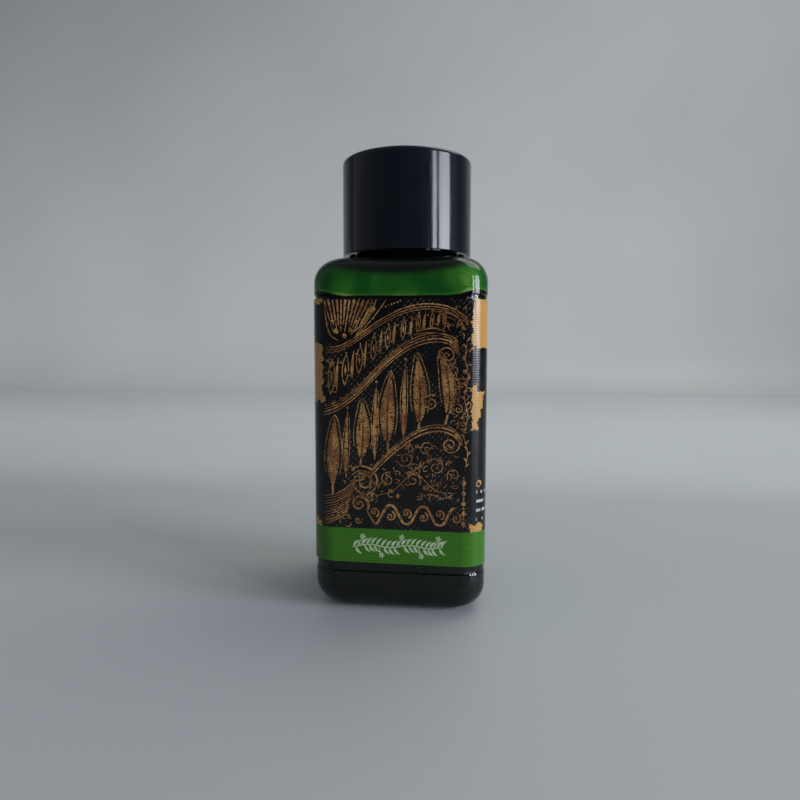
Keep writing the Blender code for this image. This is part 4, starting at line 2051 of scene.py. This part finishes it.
@dataclass
class Studio:
    """A pale table against a pale wall, the lights, the room's dim light and the camera.

    The window is at the right: two panes with a bar between them, each given by its first and last angle
    round from the front. A soft light hangs behind the bottle at the right, and a low one washes the wall.
    """

    table: bpy.types.Material
    wall: bpy.types.Material
    table_front: float = 1.2
    table_depth: float = 0.51
    wall_radius: float = 0.06
    reach: float = 2.2
    window_distance: float = 1.0
    window_angles: tuple[Point, ...] = ((52.0, 59.0), (64.0, 86.0))
    window_height: float = 0.55
    window_foot: float = 0.005
    window_radiance: float = 11.4
    window_spread: float = math.radians(90)
    window_colour: str = "#EEF2FF"
    room_light: Point = (0.09, 0.44)
    room_fade: Point = (-0.9, 0.6)
    room_colour: str = "#E2E4E8"
    back_light: float = 1.5
    back_light_place: Place = (0.3, 0.33, 0.7)
    back_light_aim: Place = (0.05, 0.05, 0.0)
    back_light_size: Point = (0.6, 0.5)
    back_light_colour: str = "#FFFDF8"
    wall_light: float = 1.35
    wall_light_place: Place = (-0.5, 0.07, 0.13)
    wall_light_way: Place = (0.0, 1.0, -0.2)
    wall_light_size: Point = (1.6, 0.2)
    wall_light_spread: float = math.radians(110)
    wall_light_colour: str = "#FFFEFA"
    lens: float = 29.39
    eye: Place = (0.01264, -0.11508, 0.04261)
    heading: float = 0.1194
    dip: float = 0.0799
    roll: float = 0.0013

    def backdrop(self) -> None:
        """Builds the table and the wall as one sheet with a rounded joint."""
        bm = bmesh.new()
        near = [bm.verts.new((x, -self.table_front, 0.0)) for x in (-self.reach, self.reach)]
        edges = [bm.edges.new(near)]
        foot = self.table_depth - self.wall_radius
        edges = next_ring(bm, edges, lambda co: Vector((co.x, foot, 0.0)))
        for step in range(1, 9):
            angle = step / 8 * QUARTER
            y = self.table_depth - self.wall_radius * (1 - math.sin(angle))
            z = self.wall_radius * (1 - math.cos(angle))
            edges = next_ring(bm, edges, lambda co: Vector((co.x, y, z)))
        next_ring(bm, edges, lambda co: Vector((co.x, self.table_depth, self.reach)))
        bmesh.ops.recalc_face_normals(bm, faces=bm.faces)
        if max(face.normal.z for face in bm.faces) < 0.5:
            bmesh.ops.reverse_faces(bm, faces=bm.faces)
        for face in bm.faces:
            face.material_index = 1 if face.normal.z < 0.96 else 0
        new_object("table_and_wall", bm, self.table, self.wall)

    def panel(
        self,
        name: str,
        place: Vector,
        target: Vector,
        size: Point,
        radiance: float,
        colour: str,
        spread: float = math.pi,
    ) -> None:
        """Hangs a rectangular light.

        Args:
            name: Its name.
            place: Its middle.
            target: The point that it faces.
            size: Its width and its height, in metres.
            radiance: How bright its face is.
            colour: Its colour.
            spread: The angle that its light stays within.
        """
        half = spread / 2
        gathered = 1.0 if spread >= math.pi else math.tan(half) / (math.tan(half) - half)
        data = bpy.data.lights.new(name, "AREA")
        data.shape = "RECTANGLE"
        data.size, data.size_y = size
        data.energy = radiance * size[0] * size[1] * 4 / gathered
        data.spread = spread
        data.color = linear(colour)[:3]
        light = bpy.data.objects.new(name, data)
        light.location = place
        light.rotation_euler = (target - place).to_track_quat("-Z", "Y").to_euler()
        bpy.context.scene.collection.objects.link(light)

    def lights(self) -> None:
        """Hangs the window's panes, the soft light behind the bottle, and the one that washes the wall."""
        middle = self.window_foot + self.window_height / 2
        for number, (start, end) in enumerate(self.window_angles):
            angle = math.radians((start + end) / 2)
            width = 2 * self.window_distance * math.tan(math.radians(end - start) / 2)
            place = Vector((math.sin(angle), -math.cos(angle), 0.0)) * self.window_distance
            place.z = middle
            self.panel(
                f"window_pane_{number}",
                place,
                Vector((0.0, 0.0, middle)),
                (width, self.window_height),
                self.window_radiance,
                self.window_colour,
                self.window_spread,
            )
        self.panel(
            "back_light",
            Vector(self.back_light_place),
            Vector(self.back_light_aim),
            self.back_light_size,
            self.back_light,
            self.back_light_colour,
        )
        place = Vector(self.wall_light_place)
        self.panel(
            "wall_light",
            place,
            place + Vector(self.wall_light_way),
            self.wall_light_size,
            self.wall_light,
            self.wall_light_colour,
            self.wall_light_spread,
        )

    def surroundings(self) -> None:
        """Sets the room's own dim light: darkest in front of the bottle and lightest behind it."""
        world = bpy.data.worlds.new("room")
        world.use_nodes = True
        tree = world.node_tree
        axes = add_node(tree, "SeparateXYZ", {"Vector": add_node(tree, "TexCoord").outputs["Generated"]})
        depth = add_node(
            tree,
            "MapRange",
            {
                "Value": axes.outputs["Y"],
                "From Min": self.room_fade[0],
                "From Max": self.room_fade[1],
                "To Min": self.room_light[0],
                "To Max": self.room_light[1],
            },
        )
        background = tree.nodes["Background"]
        background.inputs["Color"].default_value = linear(self.room_colour)
        tree.links.new(depth.outputs["Result"], background.inputs["Strength"])
        bpy.context.scene.world = world

    def camera(self) -> None:
        """Sets up the camera, a little above the bottle's middle and turned slightly to its left."""
        data = bpy.data.cameras.new("camera")
        data.sensor_width = 36.0
        data.lens = self.lens
        data.clip_start = 0.005
        data.clip_end = 20.0
        camera = bpy.data.objects.new("camera", data)
        turn = (
            Matrix.Rotation(self.heading, 4, "Z")
            @ Matrix.Rotation(QUARTER - self.dip, 4, "X")
            @ Matrix.Rotation(self.roll, 4, "Z")
        )
        camera.matrix_world = Matrix.Translation(self.eye) @ turn
        bpy.context.scene.collection.objects.link(camera)
        bpy.context.scene.camera = camera

    def build(self) -> None:
        """Builds the studio."""
        self.backdrop()
        self.lights()
        self.surroundings()
        self.camera()
        bpy.context.scene.view_settings.view_transform = "Standard"


def main() -> None:
    """Builds the bottle from the foot up, then the studio round it."""
    logging.basicConfig(level=logging.INFO)
    clear_others()
    bottle_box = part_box("bottle")
    label_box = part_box("label")
    cap_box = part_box("cap_shell")
    liner_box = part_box("cap_liner")
    ink_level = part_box("ink")[1].z
    bottle = Bottle(
        material=BlownPet().material(),
        film=InkFilm().material(),
        width=bottle_box[1].x - bottle_box[0].x,
        rim=bottle_box[1].z,
        ink_level=ink_level,
    )
    label_middle = (label_box[0].z + label_box[1].z) / 2
    path = LabelPath(half=label_box[1].x, bottom=label_middle - LABEL_HEIGHT / 2)
    assemblies = [
        bottle,
        Ink(material=GreenInk().material(), bottle=bottle, level=ink_level),
        Label(
            film=PrintedFilm().material(),
            bronze=BronzeInk().material(),
            pale=PaleInk().material(),
            white=PaleInk("white_ink_printed", "#C4CAD0", "#A4AAB2").material(),
            path=path,
            height=LABEL_HEIGHT,
        ),
        Cap(
            material=MouldedBlack().material(),
            foam=LinerFoam().material(),
            radius=cap_box[1].x,
            bottom=cap_box[0].z,
            crown=cap_box[1].z,
            liner_bottom=liner_box[0].z,
            liner_top=liner_box[1].z,
        ),
    ]
    for assembly in assemblies:
        for piece in assembly.build():
            LOG.info("%s: %d faces", piece.name, len(piece.data.polygons))
    Studio(
        table=MattPaint().material(),
        wall=MattPaint("matt_wall_paint", "#C7C9C9", "#C1C3C4").material(),
    ).build()


if __name__ == "__main__":
    main()
